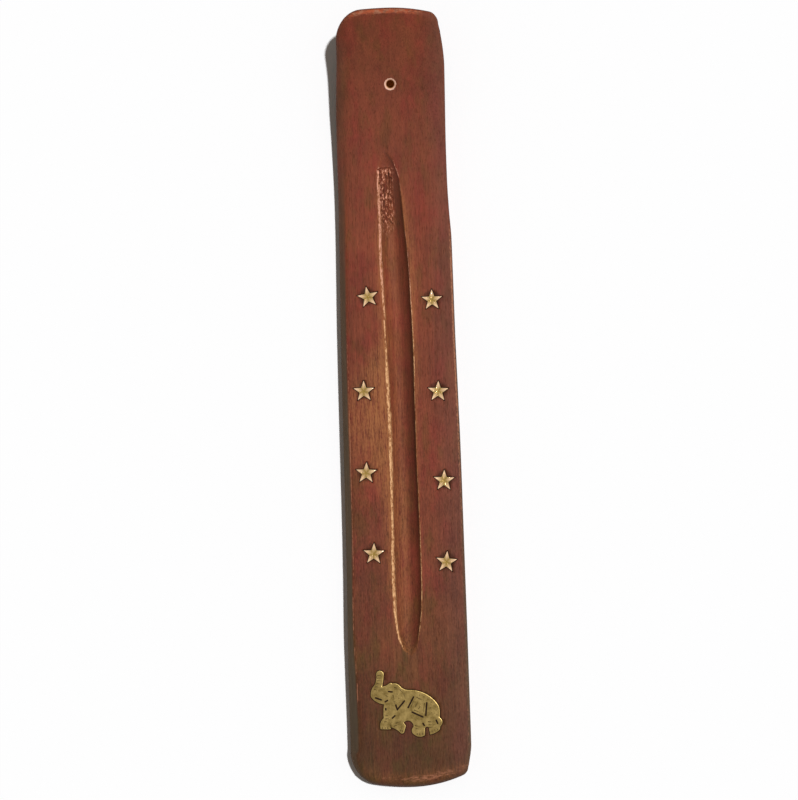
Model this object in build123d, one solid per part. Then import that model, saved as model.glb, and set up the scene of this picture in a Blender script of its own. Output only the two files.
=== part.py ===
from build123d import *
from math import asin, cos, radians, sin, sqrt
import os

# Wooden incense stick holder with brass inlays.
# Millimetres, +Y towards the turned-up hole end, +Z up, base on Z = 0, centred on the footprint.

# Board
board_length = 260.0
hole_end_width = 37.2
foot_end_width = 40.2
board_thickness = 7.0
hole_end_bow = 2.0
foot_end_bow = 3.6
corner_hole_left = 8.0
corner_hole_right = 4.0
corner_foot_left = 7.5
corner_foot_right = 5.0
top_edge_round = 1.6
under_edge_round = 0.8

# Sanded slope at the foot end
foot_slope_run = 5.2
foot_slope_drop = 2.0

# Turned-up end
bend_length = 66.0
bend_rise = 12.0

# Stick hole, measured from the hole end, leaning over the groove
hole_from_end = 24.7
hole_shift = 0.25
hole_diameter = 2.6
hole_mouth_diameter = 4.1
hole_lean = 17.0
hole_floor = 1.6

# Ash groove, cut with a round-nosed tool that lifts out at both ends
groove_from_hole_end = 47.0
groove_from_foot_end = 43.1
groove_tool_radius = 4.8
groove_depth = 3.1
groove_lead_in = 43.0
groove_lead_out = 16.0
groove_shift = 0.3
groove_skew = 0.6

# Inlays: brass sheet set in dark lac
brass_thickness = 0.8
lac_under = 0.3
lac_rim = 0.22
brass_proud = 0.08
lac_sunk = 0.04

# Stars, four on each side
star_radius = 3.7
star_waist = 1.5
star_rows = 4
star_first_row = 49.5
star_last_row = 32.2
# Hand placing of each star: shift outwards, shift along, turn in degrees
left_placing = [(-2.25, 0.05, 9.0), (0.0, -2.45, 0.0), (-0.05, -0.5, -3.0), (-1.85, 1.9, -3.0)]
right_placing = [(0.15, -1.6, 0.0), (1.1, -3.25, -3.0), (2.0, -3.85, -3.0), (1.8, -1.5, -6.0)]

# Elephant
elephant_length = 24.4
elephant_from_foot_end = 27.7
elephant_shift = -1.13
elephant_turn = -1.6
slot_width = 0.55

# Derived places
hole_end_y = board_length / 2
foot_end_y = -board_length / 2
bend_y = hole_end_y - bend_length
bend_radius = (bend_length**2 + bend_rise**2) / (2 * bend_rise)
groove_hole_y = hole_end_y - groove_from_hole_end
groove_foot_y = foot_end_y + groove_from_foot_end
groove_half_width = sqrt(groove_tool_radius**2 - (groove_tool_radius - groove_depth) ** 2)
overrun = 12.0


def top_height(y):
    """Height of the board's top face at a place along its length."""
    if y <= bend_y:
        return board_thickness
    radius = bend_radius - board_thickness
    return bend_radius - sqrt(radius**2 - (y - bend_y) ** 2)


def half_width(y):
    """Half the width of the board at a place along its length."""
    share = (y - foot_end_y) / board_length
    return (foot_end_width + (hole_end_width - foot_end_width) * share) / 2


def on_bend(radius, angle):
    """Point of the turned-up end in the side view, as (along, up)."""
    return (bend_y + radius * sin(angle), bend_radius - radius * cos(angle))


def make_strip():
    """Side view of the board: sanded foot, flat run and turned-up end."""
    inner = bend_radius - board_thickness
    bend_angle = asin((bend_length + overrun) / inner)
    foot_radius = (foot_slope_run**2 + foot_slope_drop**2) / (2 * foot_slope_drop)
    foot_angle = asin(foot_slope_run / foot_radius)
    slope_y = foot_end_y + foot_slope_run

    def on_foot(angle):
        return (slope_y - foot_radius * sin(angle), board_thickness - foot_radius * (1 - cos(angle)))

    foot_edge = on_foot(foot_angle)
    past_foot = (foot_edge[0] - cos(foot_angle), foot_edge[1] - sin(foot_angle))
    edges = [
        Line((past_foot[0], 0), (bend_y, 0)),
        ThreePointArc((bend_y, 0), on_bend(bend_radius, bend_angle / 2), on_bend(bend_radius, bend_angle)),
        Line(on_bend(bend_radius, bend_angle), on_bend(inner, bend_angle)),
        ThreePointArc(on_bend(inner, bend_angle), on_bend(inner, bend_angle / 2), (bend_y, board_thickness)),
        Line((bend_y, board_thickness), (slope_y, board_thickness)),
        ThreePointArc((slope_y, board_thickness), on_foot(foot_angle / 2), foot_edge),
        Line(foot_edge, past_foot),
        Line(past_foot, (past_foot[0], 0)),
    ]
    return extrude(Plane.YZ * make_face(edges), amount=foot_end_width, both=True)


def make_outline():
    """Plan view of the board: tapered sides, bowed ends and four hand-rounded corners."""
    hole_half = hole_end_width / 2
    foot_half = foot_end_width / 2
    hole_corner_y = hole_end_y - hole_end_bow
    foot_corner_y = foot_end_y + foot_end_bow
    edges = [
        ThreePointArc((-hole_half, hole_corner_y), (0, hole_end_y), (hole_half, hole_corner_y)),
        Line((hole_half, hole_corner_y), (foot_half, foot_corner_y)),
        ThreePointArc((foot_half, foot_corner_y), (0, foot_end_y), (-foot_half, foot_corner_y)),
        Line((-foot_half, foot_corner_y), (-hole_half, hole_corner_y)),
    ]
    face = make_face(edges)
    corners = [
        (-hole_half, hole_corner_y, corner_hole_left),
        (hole_half, hole_corner_y, corner_hole_right),
        (-foot_half, foot_corner_y, corner_foot_left),
        (foot_half, foot_corner_y, corner_foot_right),
    ]
    for x, y, radius in corners:
        corner = face.vertices().sort_by_distance((x, y, 0))[0]
        face = fillet(corner, radius)
    return face


def border(faces):
    """Edges around a group of faces, without the edges the faces share."""
    edges = faces.edges()
    return [edge for edge in edges if sum(edge.is_same(other) for other in edges) == 1]


def make_blank():
    """Board before the groove, hole and recesses: strip trimmed to the outline, edges rounded."""
    height = top_height(hole_end_y) + overrun
    blank = make_strip() & extrude(make_outline(), amount=height)
    upper = blank.faces().filter_by(lambda face: face.normal_at().Z > 0.5)
    blank = fillet(border(upper), top_edge_round)
    lower = blank.faces().filter_by(lambda face: face.normal_at().Z < -0.5)
    return fillet(border(lower), under_edge_round)


def make_groove():
    """Path of the round-nosed tool along the board, lifting out in an arc at each end."""
    floor = board_thickness - groove_depth
    centre = floor + groove_tool_radius
    hole_lift = top_height(groove_hole_y) - floor
    hole_arc = (groove_lead_in**2 + hole_lift**2) / (2 * hole_lift) - groove_tool_radius
    foot_arc = (groove_lead_out**2 + groove_depth**2) / (2 * groove_depth) - groove_tool_radius
    full_hole_y = groove_hole_y - groove_lead_in
    full_foot_y = groove_foot_y + groove_lead_out

    def lifted(y, arc, way, angle):
        return (y + way * arc * sin(angle), centre + arc * (1 - cos(angle)))

    hole_angle = asin((groove_lead_in + overrun) / hole_arc)
    foot_angle = asin((groove_lead_out + overrun / 2) / foot_arc)
    path = Wire(
        [
            ThreePointArc(
                lifted(full_foot_y, foot_arc, -1, foot_angle),
                lifted(full_foot_y, foot_arc, -1, foot_angle / 2),
                (full_foot_y, centre),
            ),
            Line((full_foot_y, centre), (full_hole_y, centre)),
            ThreePointArc(
                (full_hole_y, centre),
                lifted(full_hole_y, hole_arc, 1, hole_angle / 2),
                lifted(full_hole_y, hole_arc, 1, hole_angle),
            ),
        ]
    )
    path = Plane.YZ * path
    section = Plane(origin=path @ 0, z_dir=path % 0) * Circle(groove_tool_radius)
    return Pos(groove_shift, 0, 0) * Rot(0, 0, groove_skew) * sweep(section, path=path)


def make_hole():
    """Blind stick hole with a small conical mouth, leaning back over the groove."""
    y = hole_end_y - hole_from_end
    mouth = Pos(hole_shift, y, top_height(y)) * Rot(hole_lean, 0, 0)
    depth = board_thickness - hole_floor
    bore = Pos(0, 0, -depth) * Cylinder(hole_diameter / 2, depth, align=(Align.CENTER, Align.CENTER, Align.MIN))
    cone_depth = (hole_mouth_diameter - hole_diameter) / 2
    cone = Cone(
        hole_diameter / 2,
        hole_mouth_diameter / 2 + cone_depth,
        2 * cone_depth,
        align=(Align.CENTER, Align.CENTER, Align.MIN),
    )
    return mouth * (bore + Pos(0, 0, -cone_depth) * cone)


def star_face():
    """Five-pointed star with one point towards the hole end."""
    points = []
    for step in range(10):
        radius = star_radius if step % 2 == 0 else star_waist
        angle = radians(90 + 36 * step)
        points.append((radius * cos(angle), radius * sin(angle)))
    return make_face(Polyline(*points, close=True))


def star_places(side, placing):
    """Places of the stars of one side, from the hole end to the foot."""
    first = groove_hole_y - star_first_row
    last = groove_foot_y + star_last_row
    for row, (across, along, turn) in enumerate(placing):
        y = first + (last - first) * row / (star_rows - 1)
        x = side * (groove_half_width + half_width(y)) / 2
        yield Pos(x + side * across, y + along, 0) * Rot(0, 0, turn)


def scaled(point):
    """Elephant point in millimetres."""
    return (point[0] * elephant_length / 100, point[1] * elephant_length / 100)


def elephant_outline():
    """Outline of the elephant, facing left with its trunk up, clockwise from the trunk.

    Points are in hundredths of its length. Each step ends an arc with a point on the way, or a straight line.
    """
    start = (-39.9, 36.5)
    steps = [
        ((-35.2, 44.2), (-30.0, 38.0)),
        ((-30.8, 30.0), (-32.2, 22.6)),
        ((-27.0, 24.2), (-22.4, 27.2)),
        ((-20.6, 27.7), (-18.8, 26.8)),
        ((-13.4, 26.9), (-7.0, 22.4)),
        ((-1.8, 19.2), (5.0, 18.2)),
        ((28.0, 12.4), (44.4, -3.0)),
        ((45.8, -11.0), (45.4, -18.6)),
        ((49.3, -24.6), (46.2, -30.8)),
        (None, (46.0, -34.6)),
        ((40.6, -38.8), (32.6, -41.6)),
        (None, (31.0, -35.0)),
        ((28.2, -31.2), (25.6, -34.4)),
        (None, (25.6, -42.4)),
        ((19.0, -44.6), (12.2, -42.4)),
        ((7.8, -37.2), (10.0, -31.2)),
        ((4.4, -23.2), (-3.0, -25.6)),
        (None, (-0.1, -29.8)),
        (None, (-2.6, -38.6)),
        ((-5.4, -40.2), (-8.2, -38.6)),
        ((-14.2, -34.2), (-20.6, -31.8)),
        (None, (-21.0, -34.6)),
        (None, (-34.4, -34.4)),
        ((-35.2, -29.2), (-30.2, -19.6)),
        ((-30.6, -10.0), (-29.8, -1.0)),
        ((-40.4, 2.4), (-47.6, 9.4)),
        ((-46.9, 17.4), (-42.4, 25.0)),
        ((-40.6, 30.5), (-39.9, 36.5)),
    ]
    edges = []
    for middle, end in steps:
        if middle:
            edges.append(ThreePointArc(scaled(start), scaled(middle), scaled(end)))
        else:
            edges.append(Line(scaled(start), scaled(end)))
        start = end
    return make_face(edges)


def elephant_slots():
    """Pierced slots of the elephant, each between two points in the same hundredths."""
    ends = [
        ((-23.4, 16.1), (-18.8, 15.6)),
        ((-41.0, 7.7), (-33.4, 5.0)),
        ((-27.9, 2.5), (-25.0, 4.2)),
        ((-27.4, -6.6), (-27.2, -8.4)),
        ((-13.7, -2.0), (-12.3, -6.6)),
        ((-11.8, -8.2), (-2.0, 3.4)),
        ((3.0, -5.4), (10.2, 8.6)),
        ((8.4, -11.6), (22.8, -18.0)),
        ((28.2, 0.8), (26.8, -15.8)),
        ((-18.4, -19.4), (-15.0, -16.4)),
        ((22.9, -26.6), (24.7, -29.2)),
        ((40.8, -22.4), (42.8, -26.6)),
    ]
    return [slot_face(first, second) for first, second in ends]


def slot_face(first, second):
    """Round-ended pierced slot between two points."""
    first, second = scaled(first), scaled(second)
    middle = ((first[0] + second[0]) / 2, (first[1] + second[1]) / 2)
    return SlotCenterPoint(middle, second, slot_width)


def make_inlay(face, pierced, place):
    """One inlay: its brass, its lac bedding and the recess that holds both."""
    recess_floor = board_thickness + brass_proud - brass_thickness - lac_under
    lac_top = board_thickness - lac_sunk
    around = offset(face, lac_rim, kind=Kind.ARC)
    brass = Pos(0, 0, recess_floor + lac_under) * extrude(pierced, amount=brass_thickness)
    recess = Pos(0, 0, recess_floor) * extrude(around, amount=board_thickness - recess_floor + overrun)
    bed = Pos(0, 0, recess_floor) * extrude(around, amount=lac_top - recess_floor) - brass
    return place * brass, place * bed, place * recess


os.makedirs("parts", exist_ok=True)

pieces = {}
board = make_blank() - make_groove() - make_hole()

star = star_face()
for name, side, placing in (("left", -1, left_placing), ("right", 1, right_placing)):
    for row, place in enumerate(star_places(side, placing), start=1):
        brass, bed, recess = make_inlay(star, star, place)
        pieces[f"star_{name}_{row}"] = brass
        pieces[f"star_bed_{name}_{row}"] = bed
        board -= recess

outline = elephant_outline()
pierced = outline
for slot in elephant_slots():
    pierced -= slot
elephant_place = Pos(elephant_shift, foot_end_y + elephant_from_foot_end, 0) * Rot(0, 0, elephant_turn)
brass, bed, recess = make_inlay(outline, pierced, elephant_place)
pieces["elephant"] = brass
pieces["elephant_bed"] = bed
board -= recess
pieces["board"] = board

for name, piece in pieces.items():
    export_step(piece, f"parts/{name}.step")
    print(name, "solids", len(piece.solids()), "volume", round(piece.volume, 2), "valid", piece.is_valid)
box = board.bounding_box()
print("board box", box.min, box.max)
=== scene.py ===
"""Looks of a wooden incense stick holder with brass inlays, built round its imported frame."""

import logging
from bisect import bisect_right
from dataclasses import dataclass
from enum import Enum
from math import cos, exp, pi, radians, sin, sqrt
from typing import Any, ClassVar, Iterable, Sequence

import bmesh
import bpy
from bmesh.types import BMEdge, BMesh, BMFace, BMVert
from bpy.types import Material, Mesh, Node, NodeSocket, NodeTree, Object
from mathutils import Matrix, Vector, noise
from mathutils.kdtree import KDTree


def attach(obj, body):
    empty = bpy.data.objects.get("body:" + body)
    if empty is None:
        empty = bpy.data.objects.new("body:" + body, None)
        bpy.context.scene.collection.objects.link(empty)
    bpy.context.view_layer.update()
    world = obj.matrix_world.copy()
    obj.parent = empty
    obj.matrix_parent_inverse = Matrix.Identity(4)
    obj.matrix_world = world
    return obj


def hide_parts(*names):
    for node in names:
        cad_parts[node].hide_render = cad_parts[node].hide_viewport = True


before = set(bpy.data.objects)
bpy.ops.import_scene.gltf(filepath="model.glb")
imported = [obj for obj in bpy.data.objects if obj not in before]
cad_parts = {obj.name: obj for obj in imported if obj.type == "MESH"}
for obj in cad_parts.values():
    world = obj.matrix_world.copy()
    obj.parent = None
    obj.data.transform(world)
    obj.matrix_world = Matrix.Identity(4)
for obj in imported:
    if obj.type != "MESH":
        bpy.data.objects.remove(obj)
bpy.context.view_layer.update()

# Sizes are in millimetres where nothing else is said, and MM is a millimetre in metres.
MM = 0.001
HOLE_MOUTH = (0.25, 105.3, 11.79)
HOLE_LEAN = 17.0
BRASS_TOP = 7.08
WHITE = (1.0, 1.0, 1.0, 1.0)

Colour = tuple[float, float, float, float]
Place = tuple[float, float]
Spot = tuple[float, float, float]

log = logging.getLogger("incense_holder")


class Side(Enum):
    """Which side of the groove, seen with the hole end up."""

    LEFT = "left"
    RIGHT = "right"


class Slot(Enum):
    """Material slots of the record that the dressed pieces take."""

    WOOD = "stained_wood"
    BRASS = "brass"


def paint(red: int, green: int, blue: int) -> Colour:
    """Turns a colour as seen on a screen into the linear colour a shader takes.

    Args:
        red: Red from 0 to 255.
        green: Green from 0 to 255.
        blue: Blue from 0 to 255.

    Returns:
        The linear colour with full alpha.
    """
    shares = [level / 255 for level in (red, green, blue)]
    linear = [share / 12.92 if share <= 0.04045 else ((share + 0.055) / 1.055) ** 2.4 for share in shares]
    return (linear[0], linear[1], linear[2], 1.0)


def clamped(value: float) -> float:
    """Keeps a value from 0 to 1."""
    return min(1.0, max(0.0, value))


def ease(low: float, high: float, value: float) -> float:
    """Rises smoothly from 0 at low to 1 at high."""
    share = clamped((value - low) / (high - low))
    return share * share * (3 - 2 * share)


def band(rise: Place, fall: Place, value: float, strength: float = 1.0) -> float:
    """Rises smoothly to a strength over one range and falls back to 0 over a later one."""
    return strength * ease(*rise, value) * (1 - ease(*fall, value))


def bell(offset: float, width: float) -> float:
    """Falls from 1 at no offset to nearly 0 at twice the width."""
    return exp(-((offset / width) ** 2))


def wobble(x: float, y: float, layer: float) -> float:
    """Gives smooth noise from about -1 to 1."""
    return noise.noise(Vector((x, y, layer)))


def only(kind: type, items: Iterable[Any]) -> list[Any]:
    """Picks the items of one kind."""
    return [item for item in items if isinstance(item, kind)]


def mesh_of(bm: BMesh, name: str) -> Mesh:
    """Turns a working mesh into a named mesh and frees it.

    Args:
        bm: The working mesh.
        name: Name of the new mesh.

    Returns:
        The new mesh.
    """
    mesh = bpy.data.meshes.new(name)
    bm.to_mesh(mesh)
    bm.free()
    return mesh


def show(name: str, data: Any) -> Object:
    """Puts a new object into the scene.

    Args:
        name: Its name.
        data: Its mesh, lamp or camera.

    Returns:
        The object.
    """
    thing = bpy.data.objects.new(name, data)
    bpy.context.scene.collection.objects.link(thing)
    return thing


@dataclass(frozen=True)
class Track:
    """A measured value that changes smoothly along or across the board.

    Attributes:
        stations: Places with the value there, from the foot end up or from left to right.
    """

    stations: Sequence[Place]

    def slope(self, index: int) -> float:
        """Gives the slope at a station, without overshoot between stations.

        Args:
            index: Number of the station.

        Returns:
            Change of the value per millimetre.
        """
        if index in (0, len(self.stations) - 1):
            return 0.0
        (y0, v0), (y1, v1), (y2, v2) = self.stations[index - 1 : index + 2]
        before = (v1 - v0) / (y1 - y0)
        after = (v2 - v1) / (y2 - y1)
        return 0.0 if before * after <= 0 else 2 * before * after / (before + after)

    def at(self, y: float) -> float:
        """Reads the value at a place.

        Args:
            y: The place in millimetres.

        Returns:
            The value there, held constant past the first and last station.
        """
        points = self.stations
        if y <= points[0][0]:
            return points[0][1]
        if y >= points[-1][0]:
            return points[-1][1]
        index = bisect_right([place for place, _ in points], y)
        (y0, v0), (y1, v1) = points[index - 1], points[index]
        run = y1 - y0
        t = (y - y0) / run
        rise = (self.slope(index - 1) * (1 - t) - self.slope(index) * t) * run * t * (1 - t)
        return v0 + (v1 - v0) * t * t * (3 - 2 * t) + rise


def track(*stations: Place) -> Track:
    """Lays a track through its stations."""
    return Track(stations)


class Wires:
    """Places nodes in one node tree and joins them.

    Attributes:
        measures: Vector operations that give one value.
    """

    measures: ClassVar[tuple[str, ...]] = ("DISTANCE", "DOT_PRODUCT", "LENGTH")

    def __init__(self, tree: NodeTree) -> None:
        """Keeps the tree that the nodes go into."""
        self.tree = tree

    def feed(self, node: Node, inputs: dict[Any, Any]) -> None:
        """Fills inputs of a node.

        Args:
            node: Node to fill.
            inputs: Sockets by name or number, each with a value or with the socket to join to it.
        """
        for key, value in inputs.items():
            if isinstance(value, NodeSocket):
                self.tree.links.new(value, node.inputs[key])
            else:
                node.inputs[key].default_value = value

    def place(self, kind: str, inputs: dict[Any, Any] | None = None, **settings: Any) -> Node:
        """Adds one node.

        Args:
            kind: Node type.
            inputs: What its inputs are filled with.
            settings: Properties of the node.

        Returns:
            The new node.
        """
        node = self.tree.nodes.new(kind)
        for name, value in settings.items():
            setattr(node, name, value)
        self.feed(node, inputs or {})
        return node

    def math(self, operation: str, *values: Any, clamp: bool = False) -> NodeSocket:
        """Works out one value from others, kept from 0 to 1 if clamped."""
        inputs = dict(enumerate(values))
        return self.place("ShaderNodeMath", inputs, operation=operation, use_clamp=clamp).outputs[0]

    def times(self, first: Any, second: Any, clamp: bool = False) -> NodeSocket:
        """Multiplies two values."""
        return self.math("MULTIPLY", first, second, clamp=clamp)

    def total(self, start: Any, *terms: tuple[Any, float]) -> NodeSocket:
        """Adds weighted values up.

        Args:
            start: What they are added to.
            terms: Each value with its weight.

        Returns:
            The sum.
        """
        for value, weight in terms:
            start = self.math("MULTIPLY_ADD", value, weight, start)
        return start

    def vector(self, operation: str, first: Any, second: Any = None) -> NodeSocket:
        """Works out a vector, or one value from vectors.

        Args:
            operation: How it is worked out.
            first: First vector.
            second: Second vector, or the factor of a scaling.

        Returns:
            The vector, or the value of a measure.
        """
        inputs = {0: first}
        if second is not None:
            inputs[3 if operation == "SCALE" else 1] = second
        node = self.place("ShaderNodeVectorMath", inputs, operation=operation)
        return node.outputs[1 if operation in self.measures else 0]

    def axes(self, vector: Any) -> Sequence[NodeSocket]:
        """Splits a vector into its three parts."""
        return self.place("ShaderNodeSeparateXYZ", {0: vector}).outputs[:]

    def facing(self) -> Sequence[NodeSocket]:
        """Gives how far the surface faces along each axis."""
        return self.axes(self.place("ShaderNodeNewGeometry").outputs["Normal"])

    def spread(
        self, value: Any, low: float, high: float, start: float = 0.0, end: float = 1.0
    ) -> NodeSocket:
        """Maps a value smoothly, low to start and high to end."""
        inputs = {0: value, 1: low, 2: high, 3: start, 4: end}
        return self.place("ShaderNodeMapRange", inputs, interpolation_type="SMOOTHSTEP").outputs[0]

    def noise(self, cells: Any, detail: float, rough: float) -> NodeSocket:
        """Gives noise around 0.5 at a place counted in noise cells, with its octaves and their share."""
        inputs = {"Vector": cells, "Scale": 1.0, "Detail": detail, "Roughness": rough}
        return self.place("ShaderNodeTexNoise", inputs).outputs[0]

    def grain(self, position: Any, cells: Spot, detail: float = 2.0, rough: float = 0.5) -> NodeSocket:
        """Gives noise with a number of cells per millimetre along each axis."""
        return self.noise(self.vector("MULTIPLY", position, cells), detail, rough)

    def mix(self, factor: Any, first: Any, second: Any, blend: str = "MIX") -> NodeSocket:
        """Mixes two colours, the second by its share."""
        inputs = {0: factor, 6: first, 7: second}
        return self.place("ShaderNodeMix", inputs, data_type="RGBA", blend_type=blend).outputs[2]

    def ramp(self, value: Any, stops: Sequence[tuple[float, Colour]]) -> NodeSocket:
        """Adds a colour ramp.

        Args:
            value: Socket from 0 to 1.
            stops: Places and colours.

        Returns:
            The colour.
        """
        node = self.place("ShaderNodeValToRGB", {0: value})
        elements = node.color_ramp.elements
        while len(elements) < len(stops):
            elements.new(0.5)
        for element, (where, colour) in zip(elements, stops):
            element.position = where
            element.color = colour
        return node.outputs[0]

    def bump(self, strength: float, depth: float, height: Any) -> NodeSocket:
        """Tilts the surface by a height, with its depth in millimetres."""
        inputs = {"Strength": strength, "Distance": depth * MM, "Height": height}
        return self.place("ShaderNodeBump", inputs).outputs[0]

    def group(self, group: NodeTree, **inputs: Any) -> NodeSocket:
        """Places a node group with its inputs by name and gives what it puts out."""
        return self.place("ShaderNodeGroup", inputs, node_tree=group).outputs[0]

    def attribute(self, name: str) -> NodeSocket:
        """Reads a value that the mesh carries."""
        return self.place("ShaderNodeAttribute", attribute_name=name).outputs["Fac"]

    def millimetres(self) -> NodeSocket:
        """Gives the object's own position in millimetres."""
        return self.vector("SCALE", self.place("ShaderNodeTexCoord").outputs["Object"], 1 / MM)


def start_material(name: str) -> tuple[Material, Wires, Node]:
    """Starts a material.

    Args:
        name: Its name.

    Returns:
        The material, its wires and its shader.
    """
    material = bpy.data.materials.new(name)
    material.use_nodes = True
    return material, Wires(material.node_tree), material.node_tree.nodes["Principled BSDF"]


class SharedNodes:
    """Node groups that more than one finish uses."""

    def __init__(self) -> None:
        """Builds the groups once."""
        self.grime = self.make_grime()
        self.scratches = self.make_scratches()

    @staticmethod
    def start(name: str, size: str, usual: float) -> tuple[Wires, NodeSocket, NodeSocket, Node]:
        """Starts a node group that takes a position, a size and an amount and gives a mask.

        Args:
            name: Name of the group.
            size: Name of the size.
            usual: Value of the size where none is given.

        Returns:
            The group's wires, its position counted in sizes, its amount and its output node.
        """
        group = bpy.data.node_groups.new(name, "ShaderNodeTree")
        group.interface.new_socket(name="Position", in_out="INPUT", socket_type="NodeSocketVector")
        for label, value in ((size, usual), ("Amount", 0.5)):
            socket = group.interface.new_socket(name=label, in_out="INPUT", socket_type="NodeSocketFloat")
            socket.default_value = value
        group.interface.new_socket(name="Mask", in_out="OUTPUT", socket_type="NodeSocketFloat")
        wires = Wires(group)
        given = wires.place("NodeGroupInput").outputs
        cells = wires.vector("SCALE", given["Position"], wires.math("DIVIDE", 1.0, given[size]))
        return wires, cells, given["Amount"], wires.place("NodeGroupOutput")

    def make_grime(self) -> NodeTree:
        """Makes uneven patches of handling grime, tarnish or dust.

        Returns:
            The node group.
        """
        wires, cells, amount, result = self.start("hand_grime", "Patch", 4.0)
        edge = wires.math("SUBTRACT", 0.78, wires.times(amount, 0.5))
        over = wires.math("SUBTRACT", wires.noise(cells, 5.0, 0.62), edge)
        wires.feed(result, {"Mask": wires.math("MULTIPLY_ADD", over, 3.2, 0.5, clamp=True)})
        return wires.tree

    def make_scratches(self) -> NodeTree:
        """Makes fine straight scratches in two crossing directions.

        Returns:
            The node group.
        """
        wires, cells, amount, result = self.start("fine_scratches", "Width", 0.1)
        lines = []
        for turn in (24.0, -37.0):
            inputs = {"Vector": cells, "Rotation": (0.0, 0.0, radians(turn)), "Scale": (0.5, 0.012, 0.5)}
            turned = wires.place("ShaderNodeMapping", inputs).outputs[0]
            lines.append(wires.spread(wires.noise(turned, 1.0, 0.4), 0.66, 0.74))
        wires.feed(result, {"Mask": wires.times(wires.math("MAXIMUM", *lines), amount)})
        return wires.tree


@dataclass(frozen=True)
class StainedWood:
    """Red-brown dyed hardwood, rubbed pale along the groove, the edges and the hole, with light and shade
    painted into it in places.

    Attributes:
        stars: Middles of the stars let into it, round which lac and painted shade darken the wood.
        dye: Places along the board and the dye's colour there.
        ruddy: Tint of the patches where the dye took redder.
        olive: Tint of the patches where the wood shows through browner.
        painted_sheen: Painted sheen on the outer right.
        pore: Open pores and grime.
        bare: Wood with the dye rubbed off near the hole end.
        straw: Wood with the dye rubbed off towards the foot.
        rubbed: Wood with the dye rubbed thin, also used for the painted light on the groove's floor.
        torn: Wood torn by the groove's tool.
        crack_shade: Painted shade in the cracks of the torn wood.
        chipped: Worn corners of the outer edges.
        scuffed: Dye rubbed to orange at the hole end.
        greyed_and_shaded: Greyed wood on the bevelled edges, painted darker for the shade on the left bevel.
        painted_shade_tint: Painted shade on the groove's far wall and in the splits.
        lac_and_shade: Lac rubbed into the wood round the stars, with painted shade of the gaps round them.
        side: Dye on the sawn sides, darkened as painted shade.
        end_grain: Dye on the two ends.
        ring: Fresh wood in the hole's mouth.
        bore: Scorched wood down the hole.
        end_zone: Where along the board the wear of an end starts, and where it is full.
    """

    stars: Sequence[Place]
    dye: Sequence[tuple[float, Colour]] = (
        (-130.0, paint(84, 54, 32)),
        (-114.0, paint(83, 52, 31)),
        (-90.0, paint(104, 63, 38)),
        (-60.0, paint(115, 60, 41)),
        (0.0, paint(122, 61, 41)),
        (62.0, paint(126, 63, 42)),
        (100.0, paint(121, 60, 40)),
        (130.0, paint(117, 60, 37)),
    )
    ruddy: Colour = (1.07, 0.82, 0.98, 1.0)
    olive: Colour = (0.80, 1.02, 0.78, 1.0)
    painted_sheen: Colour = paint(104, 66, 54)
    pore: Colour = paint(62, 32, 22)
    bare: Colour = paint(236, 169, 142)
    straw: Colour = paint(240, 186, 134)
    rubbed: Colour = paint(158, 99, 59)
    torn: Colour = paint(158, 94, 62)
    crack_shade: Colour = paint(58, 26, 14)
    chipped: Colour = paint(170, 112, 84)
    scuffed: Colour = paint(174, 86, 54)
    greyed_and_shaded: Colour = paint(86, 71, 54)
    painted_shade_tint: Colour = paint(62, 42, 33)
    lac_and_shade: Colour = paint(56, 26, 10)
    side: Colour = paint(92, 58, 42)
    end_grain: Colour = paint(70, 42, 30)
    ring: Colour = paint(236, 190, 166)
    bore: Colour = paint(172, 121, 66)
    end_zone: Place = (117.0, 123.0)

    def material(self, shared: SharedNodes) -> Material:
        """Builds the finish.

        Args:
            shared: Node groups that the finishes share.

        Returns:
            The material.
        """
        material, wires, shader = start_material("stained_wood")
        coat = WoodCoat(self, wires, shared)
        for step in (coat.dye, coat.soil, coat.thin, coat.wear_edges, coat.fray, coat.saw, coat.drill):
            step()
        wires.feed(shader, coat.surface())
        return material


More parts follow.
